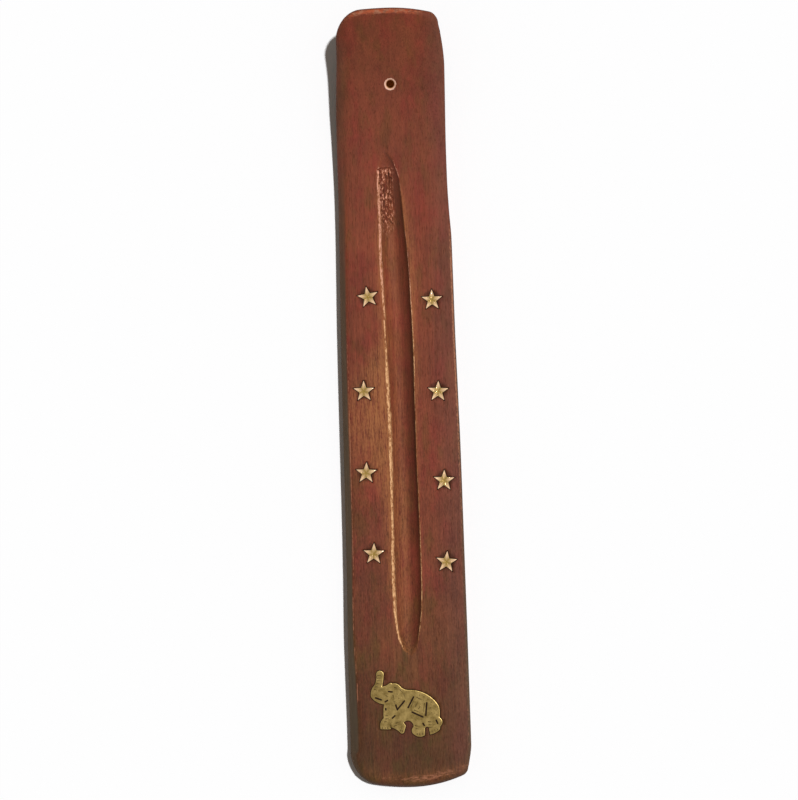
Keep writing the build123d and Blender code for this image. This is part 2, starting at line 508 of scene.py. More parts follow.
class WoodCoat:
    """Nodes of the stained wood, laid on step by step.

    Attributes:
        tints: Colours of the finish.
        wires: Wires of the material.
        position: Position in millimetres.
        x: Place across the board.
        y: Place along the board.
        streak: Wide grain.
        fibre: Fine grain.
        blotch: Uneven dye.
        pores: Mask of the pores.
        speck: Short grain.
        crumb: Grain of torn wood.
        scratch: Mask of fine scratches.
        grime: Mask of handling grime.
        lip: Bare lines along the groove's lips.
        torn: Torn wood in the groove.
        mouth: Bare mouth of the hole, once it is drilled.
        colour: Colour after the steps so far.
    """

    def __init__(self, tints: StainedWood, wires: Wires, shared: SharedNodes) -> None:
        """Places the noise of each kind of grain and the masks of the wear.

        Args:
            tints: Colours of the finish.
            wires: Wires of the material.
            shared: Node groups that the finishes share.
        """
        self.tints, self.wires = tints, wires
        self.position = wires.millimetres()
        self.x, self.y, _ = wires.axes(self.position)
        self.streak = wires.grain(self.position, (1.1, 0.03, 1.1), 4.0, 0.62)
        self.fibre = wires.grain(self.position, (4.6, 0.2, 4.6), 3.0, 0.6)
        self.blotch = wires.grain(self.position, (0.11, 0.05, 0.11), 3.0, 0.55)
        self.pores = wires.spread(wires.grain(self.position, (4.2, 0.42, 4.2), 1.0), 0.60, 0.70)
        self.speck = wires.grain(self.position, (2.6, 0.9, 2.6), 3.0, 0.65)
        self.crumb = wires.grain(self.position, (2.0, 0.7, 2.0), 4.0, 0.72)
        self.scratch = wires.group(shared.scratches, Position=self.position, Width=0.16, Amount=0.7)
        self.grime = wires.group(shared.grime, Position=self.position, Patch=7.0, Amount=0.35)
        self.lip, self.torn = wires.attribute("lip"), wires.attribute("torn")

    def cover(self, share: Any, tint: Any, blend: str = "MIX") -> None:
        """Lays a colour over the wood by its share."""
        self.colour = self.wires.mix(share, self.colour, tint, blend)

    def ragged(self, strength: Any, grain: Any) -> NodeSocket:
        """Breaks up a soft band of wear along the grain."""
        return self.wires.spread(self.wires.total(strength, (grain, 1.1)), 0.90, 1.32)

    def dye(self) -> None:
        """Colours the sound wood: dye along the board, patches, grain and pores."""
        wires, tints = self.wires, self.tints
        first, last = tints.dye[0][0], tints.dye[-1][0]
        along = wires.place("ShaderNodeMapRange", {0: self.y, 1: first, 2: last}).outputs[0]
        self.colour = wires.ramp(along, [((y - first) / (last - first), dye) for y, dye in tints.dye])
        red = wires.grain(self.position, (0.15, 0.06, 0.15), 3.0, 0.6)
        self.cover(wires.spread(red, 0.44, 0.64), tints.ruddy, "MULTIPLY")
        brown = wires.grain(self.position, (0.21, 0.08, 0.21), 3.0, 0.6)
        evenness = wires.spread(self.y, 50.0, 85.0, 1.0, 0.82)
        self.cover(wires.times(wires.spread(brown, 0.47, 0.67), evenness), tints.olive, "MULTIPLY")
        # Painted sheen towards the right edge.
        self.cover(wires.spread(self.x, 9.0, 18.5, 0.0, 0.5), tints.painted_sheen)
        tone = wires.total(-1.22, (self.streak, 0.80), (self.fibre, 0.76), (self.blotch, 0.88))
        shortness = wires.spread(self.y, 24.0, -24.0, 0.45, 1.2)
        tone = wires.math("ADD", tone, wires.times(wires.math("SUBTRACT", self.speck, 0.5), shortness))
        # Painted shade, partly a darker stain: the wood darkens towards the left edge.
        shade = wires.spread(self.x, -8.0, -17.0, 1.0, 0.86)
        self.colour = wires.vector("SCALE", self.colour, wires.math("MULTIPLY_ADD", tone, evenness, shade))
        self.cover(wires.times(self.pores, 0.36), tints.pore)

    def soil(self) -> None:
        """Rubs grime into the wood, scratches it, and darkens it round the stars with lac and painted shade.
        """
        wires, tints = self.wires, self.tints
        self.cover(wires.times(self.grime, 0.3), tints.pore)
        self.cover(wires.times(self.scratch, 0.16), tints.rubbed)
        flat = wires.vector("MULTIPLY", self.position, (1.0, 1.0, 0.0))
        gap, *others = [wires.vector("DISTANCE", flat, (x, y, 0.0)) for x, y in tints.stars]
        for other in others:
            gap = wires.math("MINIMUM", gap, other)
        # Lac and painted shade: a dark ring round each star.
        self.cover(wires.spread(wires.total(gap, (self.speck, 1.4)), 4.5, 2.9, 0.0, 0.75), tints.lac_and_shade)

    def thin(self) -> None:
        """Rubs the dye thin by the groove, paints light on its floor and shade on its wall and splits, greys
        the bevels, partly as painted shade.
        """
        wires, tints = self.wires, self.tints
        grain = wires.total(0.0, (self.streak, 0.3), (self.fibre, 0.6), (self.speck, 0.3))
        # Rubbed wood by the lips and the ends, with painted light on the groove's floor.
        thin = wires.times(wires.attribute("rub_and_light"), wires.spread(grain, 0.46, 0.73))
        self.cover(wires.times(thin, 1.15, clamp=True), tints.rubbed)
        # Painted shade on the groove's far wall and in the splits.
        self.cover(wires.times(wires.attribute("pool"), 0.6), tints.painted_shade_tint)
        tone = wires.total(0.18, (self.fibre, 0.8), (self.streak, 0.8))
        # Greyed wood on the bevels, with painted shade on the left bevel.
        self.cover(wires.attribute("bevel"), wires.vector("SCALE", tints.greyed_and_shaded[:3], tone))

    def wear_edges(self) -> None:
        """Wears the outer edges and the two ends."""
        wires, tints = self.wires, self.tints
        at_end = wires.spread(wires.math("ABSOLUTE", self.y), *tints.end_zone)
        crosswise = wires.grain(self.position, (0.6, 1.8, 0.6), 3.0, 0.72)
        bits = wires.math("SUBTRACT", crosswise, self.speck)
        bits = wires.math("MULTIPLY_ADD", bits, at_end, self.speck)
        chips = self.ragged(wires.attribute("edge"), bits)
        warm = wires.spread(wires.grain(self.position, (0.42, 0.6, 0.42), 2.0), 0.40, 0.56)
        orange = wires.times(warm, wires.spread(self.y, *tints.end_zone))
        self.cover(wires.times(chips, 0.9), wires.mix(orange, tints.chipped, tints.scuffed))

    def fray(self) -> None:
        """Bares the groove's lips and the splinters of its torn wall, with painted shade in its cracks."""
        wires, tints = self.wires, self.tints
        # Painted shade in the cracks between the splinters.
        self.cover(wires.times(self.torn, wires.spread(self.crumb, 0.52, 0.40, 0.0, 0.95)), tints.crack_shade)
        self.cover(wires.times(self.torn, wires.spread(self.crumb, 0.46, 0.60)), tints.torn)
        splinters = wires.times(self.torn, wires.spread(self.crumb, 0.54, 0.62))
        frayed = wires.total(-0.15, (self.crumb, 0.6), (self.fibre, 0.7))
        bare = wires.mix(wires.spread(self.y, 14.0, 50.0), tints.straw, tints.bare)
        clean = wires.spread(wires.math("MAXIMUM", frayed, self.crumb), 0.43, 0.60)
        open_wood = wires.math("MAXIMUM", self.ragged(self.lip, frayed), splinters, clamp=True)
        self.cover(open_wood, wires.mix(clean, tints.rubbed, bare))

    def saw(self) -> None:
        """Colours the sides with their saw marks, darkened as painted shade, and the end grain darker."""
        wires, tints = self.wires, self.tints
        _, along, up = wires.facing()
        marks = wires.grain(self.position, (0.12, 1.9, 0.12), 3.0, 0.6)
        tone = wires.total(0.25, (marks, 0.6), (self.streak, 0.9))
        side = wires.vector("SCALE", tints.side[:3], tone)
        # The sawn sides, darker as painted shade.
        self.cover(wires.spread(up, 0.62, 0.08, 0.0, 0.8), side)
        self.cover(wires.spread(wires.math("ABSOLUTE", along), 0.48, 0.90, 0.0, 0.7), tints.end_grain)

    def drill(self) -> None:
        """Bares the mouth of the hole and darkens its bore."""
        wires, tints = self.wires, self.tints
        moved = wires.vector("SUBTRACT", self.position, HOLE_MOUTH)
        axis = (0.0, -sin(radians(HOLE_LEAN)), cos(radians(HOLE_LEAN)))
        along = wires.vector("DOT_PRODUCT", moved, axis)
        across = wires.vector("SUBTRACT", moved, wires.vector("SCALE", axis, along))
        radius = wires.vector("LENGTH", across)
        self.mouth = wires.spread(wires.total(radius, (self.speck, 0.5)), 2.36, 2.16)
        self.cover(self.mouth, tints.ring)
        self.cover(wires.times(wires.spread(along, -0.5, -0.74), wires.spread(radius, 1.75, 1.5)), tints.bore)

    def surface(self) -> dict[str, Any]:
        """Gives what the shader takes.

        Returns:
            Its inputs by name.
        """
        wires = self.wires
        loose = wires.math("MAXIMUM", self.lip, self.torn)
        raw = wires.math("MAXIMUM", loose, self.mouth)
        grain = ((self.streak, 0.5), (self.fibre, 0.6), (self.pores, -0.45), (self.scratch, -0.25))
        relief = wires.total(0.0, *grain, (wires.times(self.crumb, loose), 2.0))
        return {
            "Base Color": self.colour,
            "Roughness": wires.total(0.52, (self.blotch, 0.16), (raw, 0.25), (self.pores, 0.12)),
            "Specular IOR Level": 0.1,
            "Normal": wires.bump(0.6, 0.14, relief),
        }


@dataclass(frozen=True)
class AgedBrass:
    """Cut sheet brass, bright where it is rubbed, olive where it is tarnished, dark in its cuts, its star
    tips partly a painted highlight.

    Attributes:
        name: Name of the material.
        bright: Rubbed brass.
        tarnish: Tarnished brass.
        dull: How much of it is tarnished.
        rough: Roughness of its face.
        rim_rough: How much rougher its rounded rim is.
        dirt: Dirt that stays in pits and cuts.
        glance: Tint of what it reflects at a flat angle.
        cut_zone: Depths below the face at which dirt starts to stay, and always stays.
    """

    name: str
    bright: Colour
    tarnish: Colour
    dull: float
    rough: float
    rim_rough: float
    dirt: Colour = paint(52, 34, 8)
    glance: Colour = paint(243, 227, 194)
    cut_zone: Place = (0.05, 0.10)

    def material(self, shared: SharedNodes) -> Material:
        """Builds the finish.

        Args:
            shared: Node groups that the finishes share.

        Returns:
            The material.
        """
        material, wires, shader = start_material(self.name)
        position = wires.millimetres()
        patches = wires.group(shared.grime, Position=position, Patch=2.4, Amount=self.dull)
        scratch = wires.group(shared.scratches, Position=position, Width=0.07, Amount=0.8)
        brushed = wires.grain(position, (0.5, 7.0, 0.5), 2.0)
        hollow = wires.attribute("hollow")
        # The stars' dull middles and bright tips are tarnish and rubbing, and partly a painted highlight.
        colour = wires.mix(wires.math("MAXIMUM", patches, hollow), self.bright, self.tarnish)
        colour = wires.mix(wires.times(scratch, 0.35), colour, self.bright)
        specks = wires.total(wires.grain(position, (3.4, 3.4, 3.4), 2.0), (hollow, 0.06))
        pits = wires.spread(specks, 0.60, 0.72)
        sunk = wires.spread(wires.axes(position)[2], *(BRASS_TOP - depth for depth in self.cut_zone))
        fouled = wires.math("MAXIMUM", wires.times(pits, 0.55), wires.times(sunk, 0.8))
        rim = wires.spread(wires.facing()[2], 0.9995, 0.985)
        relief = wires.total(0.0, (brushed, 0.4), (scratch, -0.5), (pits, -0.6))
        finish = {
            "Base Color": wires.mix(fouled, colour, self.dirt),
            "Specular Tint": self.glance,
            "Metallic": wires.total(1.0, (fouled, -0.9)),
            "Roughness": wires.total(self.rough, (rim, self.rim_rough), (brushed, 0.08), (fouled, 0.3)),
            "Normal": wires.bump(0.14, 0.05, relief),
        }
        wires.feed(shader, finish)
        return material


@dataclass(frozen=True)
class DarkLac:
    """Dark lac that beds the brass, dull and a little dusty.

    Attributes:
        lac: Clean lac.
        dust: Dust rubbed into it.
    """

    lac: Colour = paint(28, 13, 6)
    dust: Colour = paint(62, 36, 20)

    def material(self, shared: SharedNodes) -> Material:
        """Builds the finish.

        Args:
            shared: Node groups that the finishes share.

        Returns:
            The material.
        """
        material, wires, shader = start_material("dark_lac")
        position = wires.millimetres()
        dusty = wires.group(shared.grime, Position=position, Patch=0.9, Amount=0.35)
        finish = {
            "Base Color": wires.mix(wires.times(dusty, 0.6), self.lac, self.dust),
            "Roughness": wires.total(0.55, (dusty, 0.25)),
            "Specular IOR Level": 0.06,
            "Normal": wires.bump(0.5, 0.08, wires.grain(position, (3.0, 3.0, 3.0), 3.0)),
        }
        wires.feed(shader, finish)
        return material


@dataclass
class Piece:
    """A mesh of the holder with the ways to place it in the scene.

    Attributes:
        name: Name of the object.
        slot: Material slot of the record; not used.
        node: CAD node that it stands for.
    """

    name: str
    slot: Slot
    node: str

    def settle(self, mesh: Mesh, material: Material) -> Object:
        """Puts a finished mesh in place of its CAD node.

        Args:
            mesh: Mesh in metres, in the shared frame.
            material: Its finish.

        Returns:
            The object.
        """
        thing = show(self.name, mesh)
        mesh.materials.clear()
        mesh.materials.append(material)
        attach(thing, "root")
        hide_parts(self.node)
        return thing

    @staticmethod
    def copy_of(node: str) -> BMesh:
        """Takes a merged copy of a CAD node's mesh.

        Args:
            node: Name of the node.

        Returns:
            The copy, with its flat faces joined.
        """
        bm = bmesh.new()
        bm.from_mesh(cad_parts[node].data)
        bmesh.ops.remove_doubles(bm, verts=bm.verts, dist=1e-7)
        bmesh.ops.dissolve_limit(bm, angle_limit=radians(0.5), verts=bm.verts, edges=bm.edges)
        return bm

    @staticmethod
    def to_metres(bm: BMesh) -> None:
        """Brings a mesh from millimetres to metres."""
        bmesh.ops.scale(bm, vec=(MM, MM, MM), verts=bm.verts)

    @staticmethod
    def stroke(bm: BMesh, first: Vector, last: Vector, wide: float, fine: float) -> None:
        """Adds the cutter of one tapering stroke.

        Args:
            bm: Mesh that it is added to.
            first: Its wide end.
            last: Its fine end.
            wide: Radius at the wide end.
            fine: Radius at the fine end.
        """
        run = last - first
        turn = run.to_track_quat("Z", "Y").to_matrix().to_4x4()
        place = Matrix.Translation((first + last) / 2) @ turn
        bmesh.ops.create_cone(
            bm, cap_ends=True, segments=7, radius1=wide, radius2=fine, depth=run.length, matrix=place
        )

    def carve(self, blank: BMesh, cutters: BMesh) -> Mesh:
        """Cuts one closed mesh out of another, frees both and divides many-sided faces, which could fold.

        Args:
            blank: What is cut, in metres.
            cutters: What cuts it, in metres.

        Returns:
            The cut mesh.
        """
        things = [show("workpiece", mesh_of(bm, "workpiece")) for bm in (blank, cutters)]
        cut = things[0].modifiers.new("cut", "BOOLEAN")
        cut.operation = "DIFFERENCE"
        cut.solver = "EXACT"
        cut.object = things[1]
        bpy.context.view_layer.update()
        done = things[0].evaluated_get(bpy.context.evaluated_depsgraph_get())
        carved = bpy.data.meshes.new_from_object(done)
        carved.name = self.name
        for thing in things:
            spare = thing.data
            bpy.data.objects.remove(thing)
            bpy.data.meshes.remove(spare)
        bm = bmesh.new()
        bm.from_mesh(carved)
        bmesh.ops.triangulate(bm, faces=[face for face in bm.faces if len(face.verts) > 4])
        bm.to_mesh(carved)
        bm.free()
        return carved


@dataclass(frozen=True)
class Lip:
    """One lip of the groove, with the wear along it.

    Attributes:
        line: Lip across the board, from the foot end up.
        wander: How far the tool strays from it, over what run, and which noise it follows.
        bare: Strength of the bare line along it.
        bare_width: Width of that line.
        bare_shift: How far outside the lip that line lies.
        rubbed: Width of the rubbed wood outside it.
        rubbed_inside: Width of the rubbed wood inside it.
        rubbed_strength: Strength of the rubbed wood.
    """

    line: Track
    wander: Spot
    bare: Track
    bare_width: Track
    bare_shift: float
    rubbed: Track
    rubbed_inside: float
    rubbed_strength: float

    def at(self, y: float) -> float:
        """Gives its place across the board."""
        far, run, layer = self.wander
        return self.line.at(y) + far * wobble(y / run, layer, 0.0)

    def wear(self, outside: float, y: float) -> Place:
        """Gives how far the dye is rubbed off near it.

        Args:
            outside: Distance outside the lip.
            y: Place along the board.

        Returns:
            Strength of the bare line and of the rubbed wood around it.
        """
        bare = self.bare.at(y) * bell(outside - self.bare_shift, self.bare_width.at(y))
        within = 1.0 if outside > 0 else bell(outside, self.rubbed_inside)
        return bare, self.rubbed_strength * bell(max(0.0, outside), self.rubbed.at(y)) * within


@dataclass(frozen=True)
class Stripe:
    """A painted stripe of shade beside a lip.

    Attributes:
        start: Range along the board over which it comes in.
        end: Range along the board over which it fades.
        inset: How far inside the lip it lies.
        width: Its width.
        strength: Its strength.
    """

    start: Place
    end: Place
    inset: float
    width: float
    strength: float

    def at(self, y: float, inside: float) -> float:
        """Gives its strength at a place along the board and a distance inside the lip."""
        return band(self.start, self.end, y, self.strength * bell(inside - self.inset, self.width))


@dataclass(frozen=True)
class Unevenness:
    """Small waves of a worked surface.

    Attributes:
        height: How far they stand up.
        across: Waves per millimetre across the board.
        along: Waves per millimetre along the board.
        layer: Layer of the noise that they follow.
    """

    height: float
    across: float
    along: float
    layer: float

    def at(self, x: float, y: float, share: float) -> float:
        """Gives the height at a point for a share of the waves."""
        return self.height * share * wobble(x * self.across, y * self.along, self.layer)


@dataclass(frozen=True)
class Groove:
    """Ash groove, cut by hand with a round-nosed tool.

    Attributes:
        left: Its left lip.
        right: Its right lip.
        depth: Depth below the top.
        lead_in: Run over which it deepens from the hole end.
        lead_out: Run over which it rises to the foot end.
        roundness: Share of the tool's radius that the half width takes.
        lip_softness: How far the lips are rubbed round.
        chatter: Height of the tool's chatter marks.
        chatter_pitch: Run along the board for each radian of the chatter.
        narrowest: Least width that places across the groove are measured by.
        floor_light: Strength of the painted light along the floor's left half, which faces the light.
        floor_rise: Distance from the left lip over which that painted light comes in.
        floor_fall: Share of the way to the right lip over which it fades.
        wall_shade: Strength of the painted shade along the right wall, which faces away from the light.
        shade_depth: Depth of the groove at which that painted shade is full.
        wall_share: Share of the way from the middle to the right lip over which the painted shade deepens.
        lip_share: The same for the painted shade under the lip.
        lip_shade: Strength of the painted shade under the lip.
        steep_share: The same as wall_share where the wall is steep.
        steep_run: Where along the board the wall turns steep.
        steep_shade: How far the painted shade of the steep wall differs from the rest.
        brink: Share of the way over which the painted shade stops at the lip.
        right_shade_line: Painted line of shade beside the right lip at the hole end.
        left_shade_line: Painted line of shade beside the left lip at the hole end.
        worn: Where along the board the wear starts and ends.
        rub_fade: Where along the board the rubbed wood and the painted light on the floor fade.
        rub_loss: How much of it fades.
        tear: How far the tool has torn the left wall.
        torn_across: Where across the groove, from the left lip, the torn wood starts and ends.
        splits: Splits along the grain of the torn wood, each from its wide end to its fine end.
    """

    left: Lip = Lip(
        line=track(
            (-86.9, 0.9), (-85.0, -0.8), (-83.0, -1.8), (-80.0, -2.7), (-75.0, -3.35), (-70.0, -3.6),
            (-60.0, -3.75), (-40.0, -3.5), (-20.0, -3.35), (0.0, -3.6), (10.0, -3.8), (20.0, -4.0),
            (30.0, -4.15), (40.0, -4.55), (50.0, -4.7), (60.0, -4.6), (70.0, -4.75), (74.0, -4.8),
            (78.0, -4.5), (80.5, -3.75), (82.0, -2.9), (83.2, -2.0),
        ),
        wander=(0.10, 4.5, 3.1),
        bare=track(
            (-86.0, 0.4), (-80.0, 0.95), (-70.0, 1.0), (-54.0, 1.0), (-38.0, 0.8), (-22.0, 1.0),
            (8.0, 1.0), (15.0, 0.75), (25.0, 0.7), (34.0, 0.9), (43.0, 1.0), (58.0, 0.78),
            (76.6, 0.78), (78.2, 0.15), (83.0, 0.05),
        ),
        bare_width=track(
            (-84.0, 0.4), (-60.0, 0.66), (-40.0, 0.55), (-20.0, 0.7), (6.0, 0.66), (14.0, 0.42),
            (30.0, 0.46), (44.0, 0.54), (62.0, 0.66), (78.0, 0.6),
        ),
        bare_shift=0.15,
        rubbed=track(
            (-84.0, 0.5), (-60.0, 1.8), (-36.0, 3.0), (-22.0, 10.0), (-8.0, 18.0), (8.0, 9.0),
            (20.0, 2.6), (40.0, 1.6), (83.0, 1.0),
        ),
        rubbed_inside=0.9,
        rubbed_strength=1.0,
    )
    right: Lip = Lip(
        line=track(
            (-86.9, 0.9), (-85.0, 2.6), (-83.0, 3.2), (-80.0, 3.9), (-75.0, 4.6), (-70.0, 5.1),
            (-60.0, 5.35), (-40.0, 5.3), (-20.0, 5.05), (0.0, 5.1), (10.0, 5.2), (20.0, 5.15),
            (30.0, 4.85), (40.0, 4.6), (50.0, 4.1), (60.0, 3.3), (70.0, 2.6), (74.0, 2.1),
            (78.0, 1.0), (80.5, 0.0), (82.0, -1.1), (83.2, -2.0),
        ),
        wander=(0.08, 5.5, 9.7),
        bare=track(
            (-84.0, 0.3), (-76.0, 0.7), (-52.0, 0.75), (-30.0, 0.5), (-15.0, 0.45), (0.0, 0.75),
            (14.0, 1.0), (30.0, 1.0), (45.0, 0.6), (68.0, 0.45), (76.0, 0.6), (80.0, 0.5), (83.0, 0.1),
        ),
        bare_width=track((0.0, 0.2)),
        bare_shift=0.05,
        rubbed=track(
            (-84.0, 0.3), (-8.0, 0.8), (4.0, 1.5), (26.0, 1.6), (36.0, 2.2), (58.0, 2.0),
            (70.0, 0.9), (83.0, 0.4),
        ),
        rubbed_inside=0.5,
        rubbed_strength=0.8,
    )
    depth: float = 3.2
    lead_in: float = 43.0
    lead_out: float = 16.0
    roundness: float = 0.93
    lip_softness: float = 0.3
    chatter: float = 0.025
    chatter_pitch: float = 1 / 2.4
    narrowest: float = 0.5
    floor_light: Track = track(
        (-80.0, 0.3), (-66.0, 0.4), (-50.0, 0.58), (-40.0, 0.6), (-15.0, 0.36), (60.0, 0.32)
    )
    floor_rise: Place = (0.2, 1.4)
    floor_fall: Place = (0.42, 0.72)
    wall_shade: Track = track(
        (-62.0, 0.2), (-20.0, 0.55), (4.0, 0.55), (14.0, 0.67), (28.0, 0.6), (40.0, 0.32)
    )
    shade_depth: float = 1.5
    wall_share: Place = (-0.15, 0.65)
    lip_share: Place = (0.7, 0.94)
    lip_shade: float = 0.45
    steep_share: Place = (0.1, 0.5)
    steep_run: Place = (48.0, 66.0)
    steep_shade: float = 0.8
    brink: Place = (0.97, 1.03)
    right_shade_line: Stripe = Stripe((66.0, 74.0), (81.5, 84.0), inset=0.5, width=0.42, strength=1.0)
    left_shade_line: Stripe = Stripe((46.0, 60.0), (75.5, 77.5), inset=1.0, width=0.3, strength=0.9)
    worn: tuple[Place, Place] = ((-87.5, -84.0), (82.0, 84.5))
    rub_fade: Place = (62.0, 76.0)
    rub_loss: float = 0.85
    tear: Track = track(
        (53.5, 0.0), (58.0, 0.4), (62.0, 0.75), (68.0, 0.9), (72.0, 1.0), (76.9, 1.0), (78.3, 0.0)
    )
    torn_across: tuple[Place, Place] = ((-0.9, 0.1), (3.4, 5.4))
    splits: Sequence[tuple[Place, Place]] = (
        ((-3.85, 75.6), (-3.95, 64.6)), ((-2.15, 75.4), (-2.2, 69.6)), ((-1.3, 75.9), (-1.2, 68.8)),
        ((-0.6, 74.6), (-0.5, 69.9)), ((-2.9, 72.4), (-2.8, 67.6)), ((-3.2, 63.4), (-2.5, 60.2)),
        ((-2.2, 64.8), (-0.9, 61.6)), ((-1.8, 60.6), (-0.5, 58.8)), ((-5.0, 77.0), (-3.3, 77.7)),
        ((-2.9, 77.4), (-0.8, 77.9)), ((-3.0, 66.6), (-3.1, 64.2)), ((-1.7, 67.4), (-1.5, 64.2)),
        ((-0.2, 67.8), (0.1, 63.6)),
    )

    def lips(self, y: float) -> Place:
        """Gives both lips across the board at a place along it."""
        return self.left.at(y), self.right.at(y)

    def middle_depth(self, y: float) -> float:
        """Gives the depth below the top along the middle.

        Args:
            y: Place along the board.

        Returns:
            The depth.
        """
        foot_end, hole_end = self.left.line.stations[0][0], self.left.line.stations[-1][0]
        share = clamped((hole_end - y) / self.lead_in)
        other = clamped((y - foot_end) / self.lead_out)
        return self.depth * (1 - (1 - share) ** 2) * (1 - (1 - other) ** 2)

    def cut(self, x: float, y: float) -> float:
        """Gives how much wood the tool takes at a point.

        Args:
            x: Place across the board.
            y: Place along the board.

        Returns:
            Depth of the cut, fading to nothing past the lips.
        """
        middle_depth = self.middle_depth(y)
        left, right = self.lips(y)
        half = (right - left) / 2
        if middle_depth <= 0.0 or half <= 0.05:
            return 0.0
        share = abs(x - (left + right) / 2) / half
        flat = sqrt(1 - self.roundness**2)
        if share <= 1:
            section = (sqrt(1 - (self.roundness * share) ** 2) - flat) / (1 - flat)
        else:
            section = (1 - share) * self.roundness**2 / flat / (1 - flat)
        turn = y / self.chatter_pitch + 3 * wobble(y / 9, 1.0, 0.0)
        chatter = self.chatter * sin(turn) * max(0.0, section)
        whole = middle_depth * section + chatter
        soft = min(self.lip_softness, 0.6 * middle_depth)
        return (whole + sqrt(whole * whole + soft * soft)) / 2

    def pool(self, x: float, y: float) -> float:
        """Gives how much painted shade falls on the wall away from the light and beside the lips.

        Args:
            x: Place across the board.
            y: Place along the board.

        Returns:
            A share from 0 to 1.
        """
        left, right = self.lips(y)
        share = 2 * (x - left) / max(self.narrowest, right - left) - 1
        depth = min(1.0, self.middle_depth(y) / self.shade_depth)
        # Painted shade on the right wall, which faces away from the light.
        wall = self.wall_shade.at(y) * ease(*self.wall_share, share)
        wall += self.lip_shade * ease(*self.lip_share, share)
        wall += (ease(*self.steep_share, share) - wall) * self.steep_shade * ease(*self.steep_run, y)
        # Painted lines of shade beside the lips at the hole end.
        stripes = self.right_shade_line.at(y, right - x), self.left_shade_line.at(y, x - left)
        return max(*stripes, depth * wall) * (1 - ease(*self.brink, share))

    def wear(self, x: float, y: float) -> Place:
        """Gives how far the dye is rubbed off near the lips, and the painted light on the groove's floor.

        Args:
            x: Place across the board.
            y: Place along the board.

        Returns:
            Strength of the bare lines, and of the rubbed wood around them with the painted light on the
            floor.
        """
        left, right = self.lips(y)
        inside = x - left
        left_line, left_halo = self.left.wear(left - x, y)
        right_line, right_halo = self.right.wear(x - right, y)
        share = inside / max(self.narrowest, right - left)
        # Painted light on the floor's left half, which faces the light.
        floor = ease(*self.floor_rise, inside) * (1 - ease(*self.floor_fall, share))
        rub_and_light = max(left_halo, floor * self.floor_light.at(y), right_halo)
        ends = band(*self.worn, y)
        return max(left_line, right_line) * ends, rub_and_light * ends * (1 - self.rub_loss * ease(*self.rub_fade, y))

    def torn(self, x: float, y: float) -> float:
        """Gives how rough, from 0 to 1, the tool has left the wall and the floor at its hole end."""
        return band(*self.torn_across, x - self.left.at(y), self.tear.at(y))


@dataclass(frozen=True)
class LongEdge:
    """One long top edge of the board, with its wear.

    Attributes:
        line: Edge across the board, from the foot end up.
        rounding: Width of its rounding.
        rub: Strength of the wear along it.
        grey: Greying of its wood, which on the left edge also carries painted shade.
        bevel: Share of a flat bevel in its rounding.
    """

    line: Track
    rounding: Track
    rub: Track
    grey: Track
    bevel: Track = track((0.0, 0.0))

    def at(self, y: float) -> tuple[float, ...]:
        """Gives its rounding, bevel, wear and greying at a place along the board."""
        return tuple(value.at(y) for value in (self.rounding, self.bevel, self.rub, self.grey))


